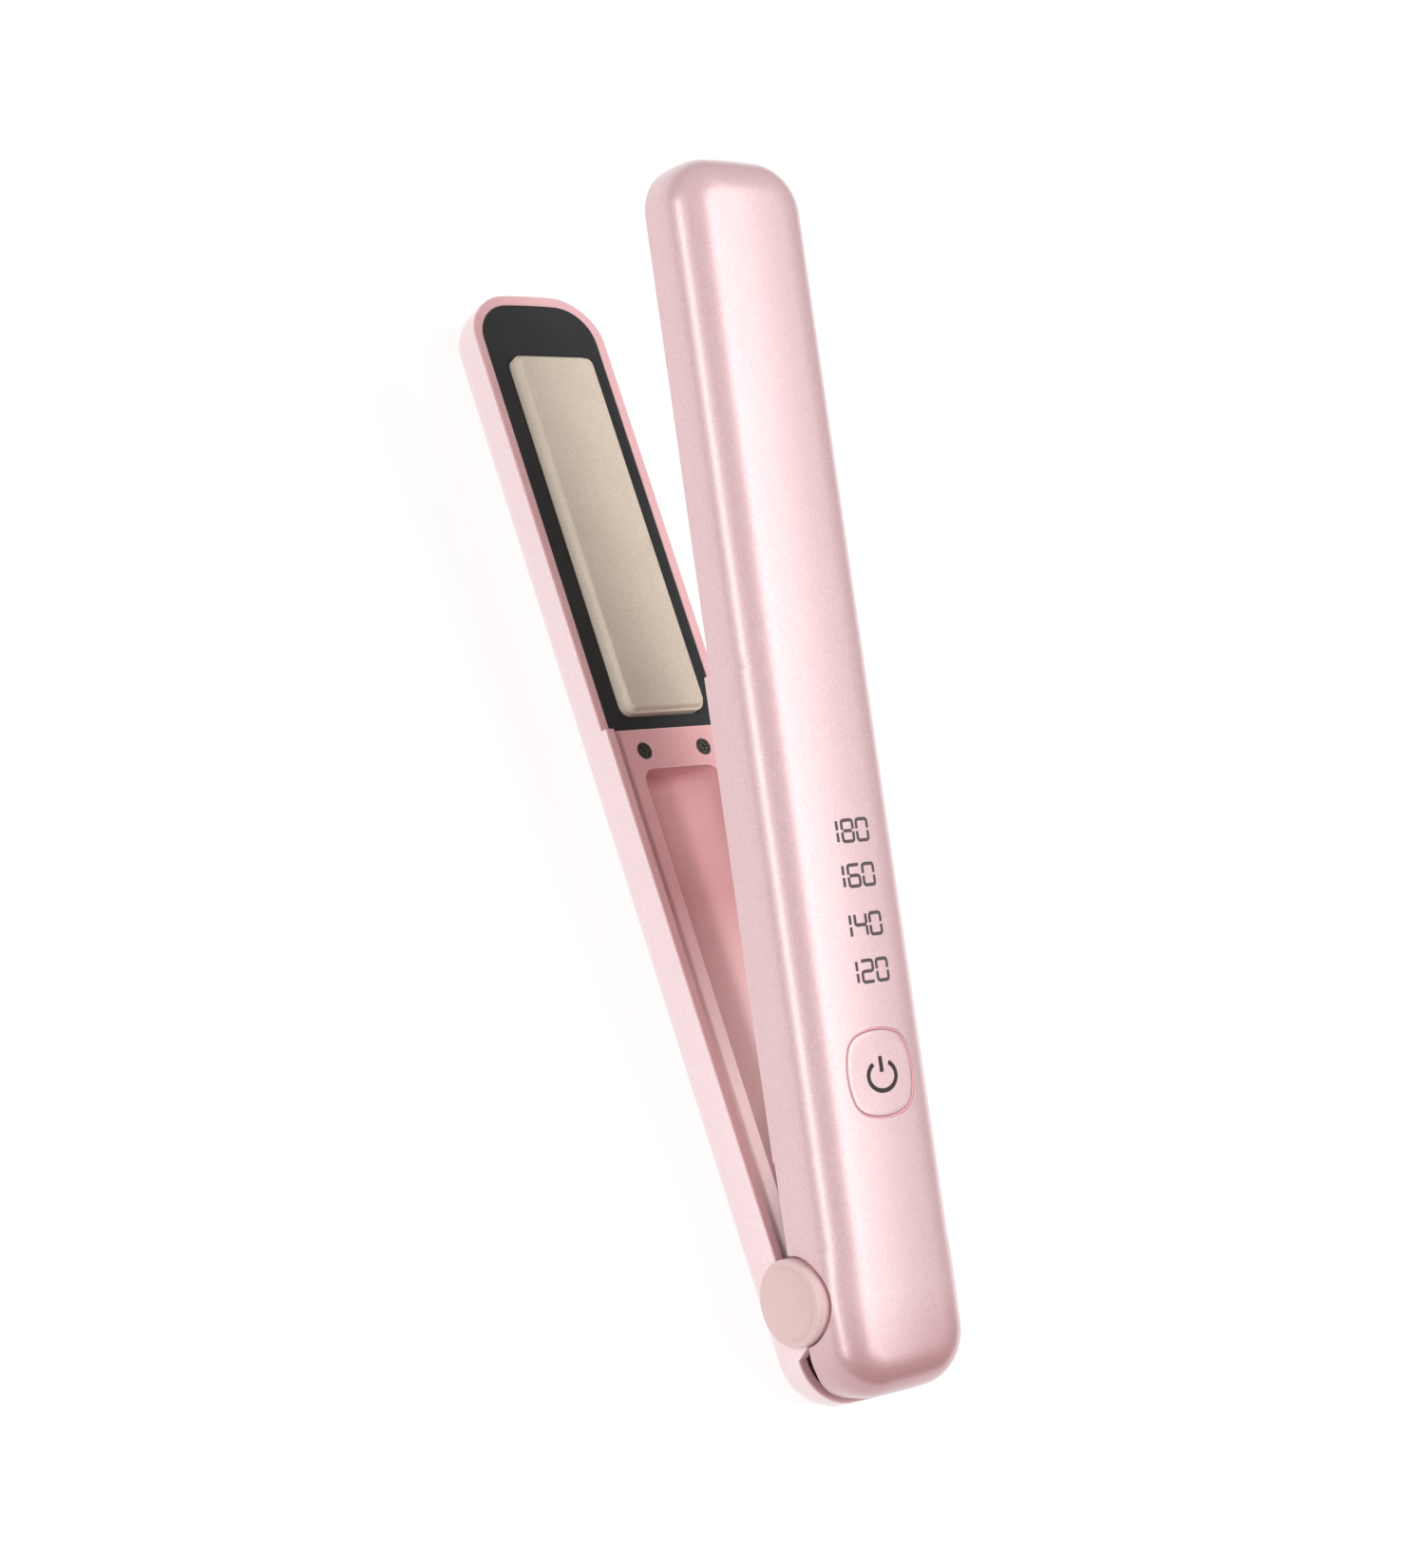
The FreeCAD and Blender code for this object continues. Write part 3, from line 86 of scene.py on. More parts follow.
BUTTON_MIDDLE = Vector((33.65 * MM, -0.9 * MM))
BUTTON_FLANGE = 8.45 * MM
BUTTON_TOP = UPPER_TOP - 0.05 * MM
BUTTON_DISH = 0.10 * MM
SEAL_GAP = 0.42 * MM
PLATE_START = 102.1 * MM
PLATE_END = 170.5 * MM
PLATE_HALF = 8.7 * MM
PLATE_CORNER = 2.0 * MM
LOWER_PLATE_PROUD = 2.1 * MM
UPPER_PLATE_PROUD = 1.1 * MM

SHARP_ANGLE = math.radians(32)


# ---- materials ------------------------------------------------------------------------

def srgb(red, green, blue):
    """Linear colour from the usual 0 to 255 values."""
    def linear(value):
        value /= 255
        return value / 12.92 if value <= 0.04045 else ((value + 0.055) / 1.055) ** 2.4
    return (linear(red), linear(green), linear(blue), 1.0)


class Surface:
    """A node material under construction, with coordinates in metres in the object's frame."""

    def __init__(self, name):
        self.material = bpy.data.materials.new(name)
        self.material.use_nodes = True
        self.tree = self.material.node_tree
        self.shader = self.tree.nodes["Principled BSDF"]
        self.place = self.add("ShaderNodeTexCoord").outputs["Object"]

    def add(self, kind, **settings):
        node = self.tree.nodes.new(kind)
        for name, value in settings.items():
            setattr(node, name, value)
        return node

    def feed(self, target, source):
        if isinstance(source, bpy.types.NodeSocket):
            self.tree.links.new(source, target)
        else:
            target.default_value = source

    def noise(self, size, detail=3.0, stretch=(1, 1, 1)):
        """Noise with features about size metres across, longer along a stretched axis."""
        mapping = self.add("ShaderNodeMapping")
        mapping.inputs["Scale"].default_value = [1 / factor for factor in stretch]
        self.feed(mapping.inputs["Vector"], self.place)
        noise = self.add("ShaderNodeTexNoise")
        self.feed(noise.inputs["Vector"], mapping.outputs[0])
        noise.inputs["Scale"].default_value = 1 / size
        noise.inputs["Detail"].default_value = detail
        return noise.outputs["Fac"]

    def cells(self, size, output="Color"):
        cells = self.add("ShaderNodeTexVoronoi")
        self.feed(cells.inputs["Vector"], self.place)
        cells.inputs["Scale"].default_value = 1 / size
        return cells.outputs[output]

    def math(self, operation, *values):
        node = self.add("ShaderNodeMath", operation=operation)
        for socket, value in zip(node.inputs, values):
            self.feed(socket, value)
        return node.outputs[0]

    def spread(self, value, low, high, start=0.3, end=0.7):
        """Map value from start..end to low..high."""
        node = self.add("ShaderNodeMapRange")
        for name, source in (("Value", value), ("From Min", start), ("From Max", end),
                             ("To Min", low), ("To Max", high)):
            self.feed(node.inputs[name], source)
        return node.outputs[0]

    def mix(self, factor, first, second):
        node = self.add("ShaderNodeMix", data_type="RGBA")
        first_colour, second_colour, mixed_colour = node.inputs[6], node.inputs[7], node.outputs[2]
        self.feed(node.inputs["Factor"], factor)
        self.feed(first_colour, first)
        self.feed(second_colour, second)
        return mixed_colour

    def along(self, low, high, start, end):
        """Map x from start..end to low..high."""
        split = self.add("ShaderNodeSeparateXYZ")
        self.feed(split.inputs[0], self.place)
        return self.spread(split.outputs["X"], low, high, start, end)

    def cell_value(self, size):
        """One random value for each cell."""
        split = self.add("ShaderNodeSeparateColor")
        self.feed(split.inputs[0], self.cells(size))
        return split.outputs[0]

    def edges(self, radius):
        """1 along convex and concave edges, 0 on open faces."""
        bevel = self.add("ShaderNodeBevel", samples=4)
        bevel.inputs["Radius"].default_value = radius
        normal = self.add("ShaderNodeNewGeometry").outputs["Normal"]
        dot = self.add("ShaderNodeVectorMath", operation="DOT_PRODUCT")
        self.feed(dot.inputs[0], bevel.outputs[0])
        self.feed(dot.inputs[1], normal)
        return self.spread(dot.outputs["Value"], 1.0, 0.0, 0.90, 0.995)

    def bump(self, height, depth):
        bump = self.add("ShaderNodeBump")
        bump.inputs["Distance"].default_value = depth
        self.feed(bump.inputs["Height"], height)
        self.feed(self.shader.inputs["Normal"], bump.outputs[0])

    def set(self, **sockets):
        for name, value in sockets.items():
            self.feed(self.shader.inputs[name.replace("_", " ")], value)
        return self


def moulded(name, light, dark, rough=0.45, grain=0.25 * MM, depth=0.004 * MM, wear_and_edge_highlight=None,
            heel_painted_shading=None, stretch=(1, 1, 1), **sockets):
    """A grained surface: colour drifts between light and dark, edges may turn lighter, as wear and as a painted
    edge highlight, and the part near the heel may be paler, which is painted light."""
    surface = Surface(name)
    fine = surface.noise(grain, 4.0, stretch)
    drift = surface.noise(12 * MM, 2.0, stretch)
    both = surface.math("MULTIPLY_ADD", fine, 0.5, surface.math("MULTIPLY", drift, 0.5))
    colour = surface.mix(surface.spread(both, 0.0, 1.0), srgb(*dark), srgb(*light))
    if heel_painted_shading:
        # painted light: the colour turns paler towards the heel
        painted_light_near_heel = surface.along(1.0, 0.0, -48 * MM, -12 * MM)
        colour = surface.mix(painted_light_near_heel, colour, srgb(*heel_painted_shading))
    # lighter edges: wear on some parts, a painted edge highlight on others
    if wear_and_edge_highlight:
        colour = surface.mix(surface.math("MULTIPLY", surface.edges(0.25 * MM), 0.6),
                             colour, srgb(*wear_and_edge_highlight))
    surface.set(Base_Color=colour, Roughness=surface.spread(fine, rough - 0.05, rough + 0.05))
    surface.bump(fine, depth)
    return surface.set(**sockets).material


def pearl_lacquer(name, light, dark, heel_painted_shading):
    """Pearl pink lacquer: fine flakes in the colour, soft clear coat, faint orange peel, lighter edges as wear and
    as a painted edge highlight, and a colour painted round the heel: on the upper arm a deeper pink, which is
    painted shade."""
    surface = Surface(name)
    flake = surface.cell_value(0.26 * MM)
    fine = surface.noise(0.3 * MM, 3.0)
    drift = surface.noise(25 * MM, 2.0)
    share = surface.math("MULTIPLY_ADD", flake, 0.62, surface.math("MULTIPLY", drift, 0.38))
    colour = surface.mix(surface.spread(share, 0.0, 1.0, 0.2, 0.8), srgb(*dark), srgb(*light))
    # painted shade: towards the heel's end the colour turns to the heel colour
    painted_heel_shade = surface.along(0.0, 0.85, -86 * MM, -99.5 * MM)
    colour = surface.mix(painted_heel_shade, colour, srgb(*heel_painted_shading))
    # lighter edges: a painted edge highlight and wear
    wear_and_edge_highlight = surface.math("MULTIPLY", surface.edges(0.2 * MM), 0.5)
    colour = surface.mix(wear_and_edge_highlight, colour, srgb(246, 226, 226))
    surface.set(Base_Color=colour, Roughness=surface.spread(fine, 0.29, 0.37),
                Metallic=0.2, IOR=1.9, Specular_IOR_Level=0.8, Coat_Weight=0.75,
                Coat_Roughness=0.24, Sheen_Weight=0.05, Sheen_Roughness=0.4)
    orange_peel = surface.math("MULTIPLY", surface.noise(2.5 * MM), 2.0)
    surface.bump(surface.math("ADD", fine, orange_peel), 0.0025 * MM)
    return surface.material


def brushed_metal(name, light, dark, rough=0.3, stretch=(40, 1, 1)):
    """Metal brushed along its stretched axis."""
    return moulded(name, light, dark, rough, grain=0.12 * MM, depth=0.003 * MM, stretch=stretch,
                   Metallic=1.0, Anisotropic=0.4)


def plate_coating(name):
    """Fine sandy ceramic coating on the heating plates."""
    surface = Surface(name)
    speckle = surface.cell_value(0.22 * MM)
    fine = surface.noise(0.35 * MM, 5.0)
    drift = surface.noise(9 * MM, 3.0)
    share = surface.math("MULTIPLY_ADD", speckle, 0.35,
                         surface.math("MULTIPLY", surface.math("ADD", fine, drift), 0.32))
    colour = surface.mix(surface.spread(share, 0.0, 1.0, 0.25, 0.75),
                         srgb(187, 174, 159), srgb(204, 192, 177))
    surface.set(Base_Color=colour, Metallic=0.05, Specular_IOR_Level=0.25,
                Roughness=surface.spread(fine, 0.48, 0.58))
    surface.bump(fine, 0.006 * MM)
    return surface.material


def circuit_board(name):
    """Green solder mask over a grid of traces, with small tinned pads."""
    surface = Surface(name)
    traces = surface.add("ShaderNodeTexBrick")
    surface.feed(traces.inputs["Vector"], surface.place)
    traces.inputs["Scale"].default_value = 1 / (3.0 * MM)
    traces.inputs["Mortar Size"].default_value = 0.06
    pads = surface.spread(surface.cells(2.4 * MM, "Distance"), 1.0, 0.0, 0.10, 0.13)
    green = surface.mix(traces.outputs["Fac"], srgb(20, 84, 48), srgb(38, 118, 70))
    surface.set(Base_Color=surface.mix(pads, green, srgb(205, 200, 186)),
                Metallic=pads, Roughness=0.35, Coat_Weight=0.3)
    surface.bump(traces.outputs["Fac"], 0.02 * MM)
    return surface.material


def make_materials():
    """One material for each of the record's slots, a paler copy of the lacquer for the lower shell, which is
    painted light, and the printed inks."""
    # the caps' lighter edges are a painted edge highlight
    pink_painted_edge_highlight = (240, 214, 214)
    return {
        "pearl_shell": pearl_lacquer("pearl_pink_lacquer", (201, 167, 170), (192, 153, 156),
                                     (164, 104, 108)),
        # a paler copy of the same lacquer on the lower shell: painted light
        "pearl_lower_painted_light": pearl_lacquer("pink_lacquer_painted_light", (227, 202, 204), (220, 190, 193),
                                     (222, 196, 198)),
        "raw_pink": moulded("raw_pink_polymer", (215, 170, 173), (207, 159, 163), 0.55,
                            wear_and_edge_highlight=(228, 192, 194)),
        "pink_cap": moulded("matt_pink_cap", (204, 176, 174), (196, 166, 165), 0.55,
                            wear_and_edge_highlight=pink_painted_edge_highlight, Sheen_Weight=0.2, Sheen_Roughness=0.5),
        # the cover turns paler near the heel: painted light in its trough
        "pink_cover": moulded("satin_pink_cover", (208, 158, 160), (199, 147, 150), 0.52,
                              wear_and_edge_highlight=(238, 204, 206), heel_painted_shading=(250, 228, 228)),
        "charcoal_insert": moulded("charcoal_polymer", (38, 38, 39), (23, 23, 24), 0.6,
                                   grain=0.18 * MM, depth=0.006 * MM, wear_and_edge_highlight=(70, 69, 69),
                                   Specular_IOR_Level=0.3),
        "champagne_plate": plate_coating("champagne_coating"),
        "heater_ceramic": moulded("fired_alumina", (236, 232, 222), (214, 208, 196), 0.7),
        "spring_steel": brushed_metal("spring_steel", (186, 184, 180), (140, 138, 134)),
        "pin_steel": brushed_metal("ground_steel", (206, 206, 208), (170, 170, 172), 0.22,
                                   stretch=(1, 30, 1)),
        "black_steel": moulded("black_oxide_steel", (62, 58, 55), (40, 37, 35), 0.38,
                               wear_and_edge_highlight=(168, 160, 152), Metallic=0.8),
        "socket_steel": brushed_metal("drawn_nickel_steel", (196, 195, 192), (158, 157, 154)),
        "bush_bronze": moulded("sintered_bronze", (186, 140, 80), (140, 98, 50), 0.5,
                               grain=0.1 * MM, Metallic=1.0),
        "grey_rubber": moulded("grey_silicone", (158, 152, 146), (132, 127, 121), 0.75,
                               Sheen_Weight=0.3),
        "seal_rubber": moulded("dusty_pink_silicone", (220, 162, 166), (204, 146, 150), 0.6,
                               Sheen_Weight=0.2),
        "hinge_nylon": moulded("filled_nylon", (62, 60, 60), (42, 41, 41), 0.6),
        "circuit_board": circuit_board("circuit_board"),
        "chip_black": moulded("moulded_epoxy", (34, 34, 34), (20, 20, 20), 0.55),
        "lamp_white": moulded("lamp_lens", (246, 243, 226), (228, 222, 196), 0.25,
                              Coat_Weight=0.5),
        "light_guide": moulded("frosted_acrylic", (238, 238, 234), (220, 220, 216), 0.4,
                               Transmission_Weight=0.4),
        "cell_wrap": moulded("shrink_sleeve", (62, 100, 156), (48, 82, 134), 0.32,
                             stretch=(6, 1, 1), wear_and_edge_highlight=(110, 142, 184), Coat_Weight=0.4),
        "nickel_strip": brushed_metal("nickel_strip", (206, 202, 190), (176, 172, 160)),
        "foam_tape": moulded("foam_tape", (74, 72, 70), (50, 48, 47), 0.9, grain=0.4 * MM,
                             depth=0.03 * MM),
        "wire_silicone": moulded("red_silicone_sleeve", (196, 44, 38), (164, 30, 26), 0.5),
        "mica_sheet": moulded("pressed_mica", (204, 186, 146), (170, 150, 108), 0.45,
                              grain=0.8 * MM, depth=0.02 * MM, Coat_Weight=0.2),
        "sensor_glass": moulded("amber_glass", (214, 140, 66), (184, 110, 44), 0.15,
                                Transmission_Weight=0.3),
        "fuse_case": moulded("glazed_tube", (232, 230, 222), (214, 211, 202), 0.2,
                             Coat_Weight=0.5),
        "switch_black": moulded("switch_nylon", (40, 40, 40), (26, 26, 26), 0.5),
        "flat_cable": moulded("flat_cable", (236, 232, 218), (202, 196, 176), 0.4,
                              stretch=(30, 1, 1)),
        "ink": moulded("printed_ink", (92, 80, 84), (74, 64, 68), 0.6, grain=0.12 * MM,
                       depth=0.002 * MM, Specular_IOR_Level=0.2),
        "button_ink": moulded("button_ink", (60, 50, 52), (46, 38, 40), 0.6, grain=0.12 * MM,
                              depth=0.002 * MM, Specular_IOR_Level=0.2),
    }


MATERIALS = make_materials()


# ---- mesh helpers ---------------------------------------------------------------------

def add_object(name, data):
    """Link an object with this data to the scene."""
    made = bpy.data.objects.new(name, data)
    bpy.context.scene.collection.objects.link(made)
    return made


def finished_mesh(name, mesh_data, place):
    """The mesh of a finished bmesh, moved to its place in the frame."""
    mesh = bpy.data.meshes.new(name)
    bmesh.ops.recalc_face_normals(mesh_data, faces=mesh_data.faces)
    mesh_data.to_mesh(mesh)
    mesh_data.free()
    mesh.transform(place)
    return mesh


def add_piece(name, mesh_data, place, body, slot, materials=None):
    """Put a finished bmesh in the scene, on its body, with the listed materials, or the slot's material when none
    are listed.
    """
    mesh = finished_mesh(name, mesh_data, place)
    mesh.shade_smooth()
    mesh.set_sharp_from_angle(angle=SHARP_ANGLE)
    piece = add_object(name, mesh)
    for key in materials or [slot]:
        mesh.materials.append(MATERIALS[key])
    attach(piece, body)
    return piece


def join_loops(mesh_data, loops, closed):
    """Skin a list of loops that have the same number of points."""
    rings = [[mesh_data.verts.new(point) for point in loop] for loop in loops]
    pairs = list(zip(rings, rings[1:]))
    if closed:
        pairs.append((rings[-1], rings[0]))
    count = len(rings[0])
    for first, second in pairs:
        for index in range(count):
            following = (index + 1) % count
            mesh_data.faces.new((first[index], first[following],
                                 second[following], second[index]))
    return rings


def cap_loop(mesh_data, ring):
    """Close a loop with a fan of triangles round its middle."""
    middle = mesh_data.verts.new(sum((vert.co for vert in ring), Vector()) / len(ring))
    for index, vert in enumerate(ring):
        mesh_data.faces.new((vert, ring[(index + 1) % len(ring)], middle))


def stack(outline, profile, lift=None, closed=False):
    """A solid whose section is profile, (inset, z) pairs, carried round an outline.
    outline(inset) gives the points; lift(y, z) may raise or lower them."""
    mesh_data = bmesh.new()
    loops = []
    for inset, z in profile:
        loops.append([Vector((x, y, lift(y, z) if lift else z)) for x, y in outline(inset)])
    rings = join_loops(mesh_data, loops, closed)
    if not closed:
        cap_loop(mesh_data, rings[0])
        cap_loop(mesh_data, rings[-1])
    return mesh_data


def arc(centre, radius, start, end, steps):
    """Points along an arc, the last one left out."""
    return [(centre[0] + radius * math.cos(start + (end - start) * step / steps),
             centre[1] + radius * math.sin(start + (end - start) * step / steps))
            for step in range(steps)]


def rounded_rectangle(low, high, corner):
    """Outline function of a rectangle with round corners, for stack()."""
    def outline(inset):
        steps = 8
        radius = max(corner - inset, 0.02 * MM)
        points = []
        corners = ((high[0], high[1]), (low[0], high[1]), (low[0], low[1]), (high[0], low[1]))
        for quarter, (x, y) in enumerate(corners):
            sx = 1 if x == high[0] else -1
            sy = 1 if y == high[1] else -1
            centre = (x - sx * (inset + radius), y - sy * (inset + radius))
            start = quarter * math.pi / 2
            points += arc(centre, radius, start, start + math.pi / 2, steps)
            points.append((centre[0] + radius * math.cos(start + math.pi / 2),
                           centre[1] + radius * math.sin(start + math.pi / 2)))
        return points
    return outline


def button_outline(inset):
    """Bulging sides joined by tangent corner arcs."""
    reach, corner, offset = 6.85 * MM, 3.85 * MM, 2.6 * MM
    side = (offset ** 2 + (offset - reach) ** 2 - corner ** 2) / (2 * (reach - offset - corner))
    back = side - reach
    half = math.atan2(offset, offset + back)
    points = []
    for quarter, (sx, sy) in enumerate(((1, 1), (-1, 1), (-1, -1), (1, -1))):
        start = quarter * math.pi / 2
        middle = BUTTON_MIDDLE - Vector((math.cos(start), math.sin(start))) * back
        points += arc(middle, side - inset, start - half, start + half, 8)
        centre = BUTTON_MIDDLE + Vector((sx, sy)) * offset
        points += arc(centre, corner - inset, start + half, start + math.pi / 2 - half, 10)
    return points


# ---- shells ---------------------------------------------------------------------------

POWER = 2.45    # superellipse power of the shells' long edges: fuller than a plain arc


def side_stations():
    """Places along the sides: evenly spaced, closer at the ears, and close to both sides of
    every jump in the walls' edges."""
    low, high = HEEL + CORNER, TIP - CORNER
    even_steps, ear_steps = 90, 40
    close = 0.02 * MM
    stations = [low + (high - low) * step / even_steps for step in range(even_steps + 1)]
    jumps = [SHOULDER, JOG, STEP]
    for radius in EAR_RADIUS.values():
        notch = radius + NOTCH_GAP
        jumps += [-notch, -radius, radius, notch]
        stations += [-notch * math.cos(math.pi * step / ear_steps)
                     for step in range(ear_steps + 1)]
    stations += [jump + shift for jump in jumps for shift in (-close, close)]
    rounded = {round(x, 8) for x in stations}
    return sorted(x for x in rounded if low <= x <= high)


def corner_columns(x, y, start):
    """A quarter turn round (x, y) from the angle start, both ends left out."""
    steps = 14
    angles = [start + math.pi / 2 * step / steps for step in range(1, steps)]
    return [((x + CORNER * math.cos(angle), y + CORNER * math.sin(angle)),
             (math.cos(angle), math.sin(angle))) for angle in angles]


def arm_columns():
    """Points round the arm in plan, each with its outward direction."""
    end_steps = 8
    xs = side_stations()
    inner = HALF_WIDTH - CORNER
    across = [inner * (1 - 2 * step / end_steps) for step in range(end_steps + 1)]
    columns = [((x, -HALF_WIDTH), (0, -1)) for x in xs]
    columns += corner_columns(TIP - CORNER, -inner, -math.pi / 2)
    columns += [((TIP, -y), (1, 0)) for y in across]
    columns += corner_columns(TIP - CORNER, inner, 0)
    columns += [((x, HALF_WIDTH), (0, 1)) for x in reversed(xs)]
    columns += corner_columns(HEEL + CORNER, inner, math.pi / 2)
    columns += [((HEEL, y), (-1, 0)) for y in across]
    columns += corner_columns(HEEL + CORNER, -inner, math.pi)
    return columns


def bow_ends(x, y):
    """The tip and the heel bulge a little in plan."""
    bulge = END_CROWN * (y / HALF_WIDTH) ** 2
    if x > TIP - END_REACH:
        x -= bulge * ((x - TIP + END_REACH) / END_REACH) ** 2
    if x < HEEL + END_REACH:
        x += bulge * ((HEEL + END_REACH - x) / END_REACH) ** 2
    return x


def crown(y, depth=UPPER_CROWN):
    """How far an outer face has fallen at y: both faces bulge a little across the arm."""
    return depth * (y / HALF_WIDTH) ** 2


def evenly_spaced(points, count):
    """count + 1 points, evenly spaced along a path."""
    lengths = [0.0]
    for first, second in zip(points, points[1:]):
        lengths.append(lengths[-1] + math.dist(first, second))
    result = []
    index = 0
    for row in range(count + 1):
        wanted = lengths[-1] * row / count
        while index < len(points) - 2 and lengths[index + 1] < wanted:
            index += 1
        gap = lengths[index + 1] - lengths[index]
        share = (wanted - lengths[index]) / gap if gap else 0.0
        result.append(tuple(a + (b - a) * share
                            for a, b in zip(points[index], points[index + 1])))
    return result


def wall_section(edge, face, radius, inset, rows):
    """From the edge of a wall over its rounding: (inset, height) pairs, evenly spaced."""
    straight_steps, round_steps = 12, 60
    shoulder = face - radius
    start_share = 0.0
    points = []
    if edge < shoulder:
        points += [(inset, edge + (shoulder - edge) * step / straight_steps)
                   for step in range(straight_steps)]
    else:
        share = 1 - (face - edge) / radius
        start_share = math.asin(min(1.0, share) ** (POWER / 2)) / (math.pi / 2)
    for step in range(round_steps + 1):
        angle = math.pi / 2 * (start_share + (1 - start_share) * step / round_steps)
        across = max(math.cos(angle), 0.0) ** (2 / POWER)
        upward = math.sin(angle) ** (2 / POWER)
        points.append((inset + radius * (1 - across), face - radius * (1 - upward)))
    return evenly_spaced(points, rows)


def arm_shell(face, rounding, crown_depth, edge_of, sign):
    """A closed shell: outer face and rounding, a wall whose edge height is edge_of(x, side),
    inside. Heights grow towards the outer face; sign turns them into z."""
    outer_rows, inner_rows, roof_rows = 22, 14, 7
    lip = 0.22 * MM
    # the edge between the two skins: share of the way inwards, and of the lip's height gone
    rim_profile = ((0.04, 0.3), (0.12, 0.85), (0.5, 1.0), (0.88, 0.85), (0.96, 0.3))

    def column(base, normal):
        edge = edge_of(base[0], "left" if base[1] > 0 else "right")
        start = edge + lip
        spine_x = min(max(base[0], HEEL + HALF_WIDTH), TIP - HALF_WIDTH)

        def skin(inset, radius, roof, rows, depth):
            """From the lip over the rounding and the crowned roof to the arm's spine."""
            points = []
            for across, height in wall_section(start, roof, radius, inset, rows):
                x = base[0] - normal[0] * across
                y = base[1] - normal[1] * across
                lowered = (height - start) / (roof - start)
                points.append((x, y, height - crown(y, depth) * lowered))
            end_x, end_y, _ = points[-1]
            for row in range(1, roof_rows + 1):
                share = row / roof_rows
                y = end_y - end_y * share
                points.append((end_x + (spine_x - end_x) * share, y, roof - crown(y, depth)))
            return points

        outer = skin(0.0, rounding, face, outer_rows, crown_depth)
        # inside, both arms are crowned as little as the lower one's face
        inner = skin(WALL, rounding - WALL, face - WALL, inner_rows, LOWER_CROWN)
        rim = []
        for share, drop in rim_profile:
            x = outer[0][0] + (inner[0][0] - outer[0][0]) * share
            y = outer[0][1] + (inner[0][1] - outer[0][1]) * share
            rim.append((x, y, edge + lip * (1 - drop)))
        section = list(reversed(outer)) + rim + inner
        return [Vector((bow_ends(x, y), y, sign * z)) for x, y, z in section]

    outer_count = outer_rows + roof_rows + 1
    mesh_data = bmesh.new()
    columns = [column(base, normal) for base, normal in arm_columns()]
    verts = [[mesh_data.verts.new(point) for point in line] for line in columns]
    for index, line in enumerate(verts):
        following = verts[(index + 1) % len(verts)]
        for row in range(len(line) - 1):
            face_made = mesh_data.faces.new((line[row], following[row],
                                             following[row + 1], line[row + 1]))
            face_made.material_index = 0 if row < outer_count else 1
    bmesh.ops.remove_doubles(mesh_data, verts=mesh_data.verts, dist=0.001 * MM)
    return mesh_data


# the upper wall's edge from heel to tip, (x, height) points; two at the same x are a jump
UPPER_EDGE = ((-17.7 * MM, -0.8 * MM), (-14.5 * MM, 0.4 * MM), (-11.5 * MM, 1.25 * MM),
              (SHOULDER, 1.5 * MM), (SHOULDER, -0.6 * MM), (JOG, -0.6 * MM),
              (JOG, -0.95 * MM), (STEP, -0.95 * MM), (STEP, UPPER_RIM))


def height_along(profile, x):
    """Height at x of a profile of (x, height) points; past the last point, that one's."""
    for (start, low), (end, high) in zip(profile, profile[1:]):
        if x <= end:
            return low + (high - low) * (x - start) / (end - start)
    return profile[-1][1]


def upper_edge(x, side):
    """Height of the upper wall's edge, towards the top face; the ears have notches in it."""
    plain = height_along(UPPER_EDGE, x)
    notch = (EAR_RADIUS[side] + NOTCH_GAP) ** 2 - x * x
    return max(plain, math.sqrt(notch)) if notch > 0 else plain


def lower_edge(x, side):
    """Height of the lower wall's edge, towards the base; the ears rise past the hinge axis."""
    handle = 1.7 * MM
    lug_top, lug_rise, lug_reach = 0.95 * MM, 0.3 * MM, 8.2 * MM
    heel_top, heel_slope = 3.6 * MM, 1.45 / 8.0
    radius = EAR_RADIUS[side]
    if x > STEP:
        return LOWER_RIM
    if x > radius:
        return handle
    if x >= -radius:
        return -math.sqrt(max(radius ** 2 - x * x, 0.0))
    if x >= LUG:
        return lug_top - lug_rise * (x - LUG) / (lug_reach - radius)
    return heel_top - heel_slope * (x - LUG)


def cut(piece, cutters):
    """Subtract closed pieces and keep the result as the piece's own mesh."""
    for cutter in cutters:
        modifier = piece.modifiers.new("cut", "BOOLEAN")
        modifier.operation = "DIFFERENCE"
        modifier.solver = "EXACT"
        modifier.object = cutter
    graph = bpy.context.evaluated_depsgraph_get()
    mesh = bpy.data.meshes.new_from_object(piece.evaluated_get(graph))
    piece.modifiers.clear()
    piece.data = mesh
    mesh.set_sharp_from_angle(angle=SHARP_ANGLE)
    for cutter in cutters:
        bpy.data.objects.remove(cutter)


def cutter_from(mesh_data, place):
    """A closed piece to cut with."""
    return add_object("cutter", finished_mesh("cutter", mesh_data, place))


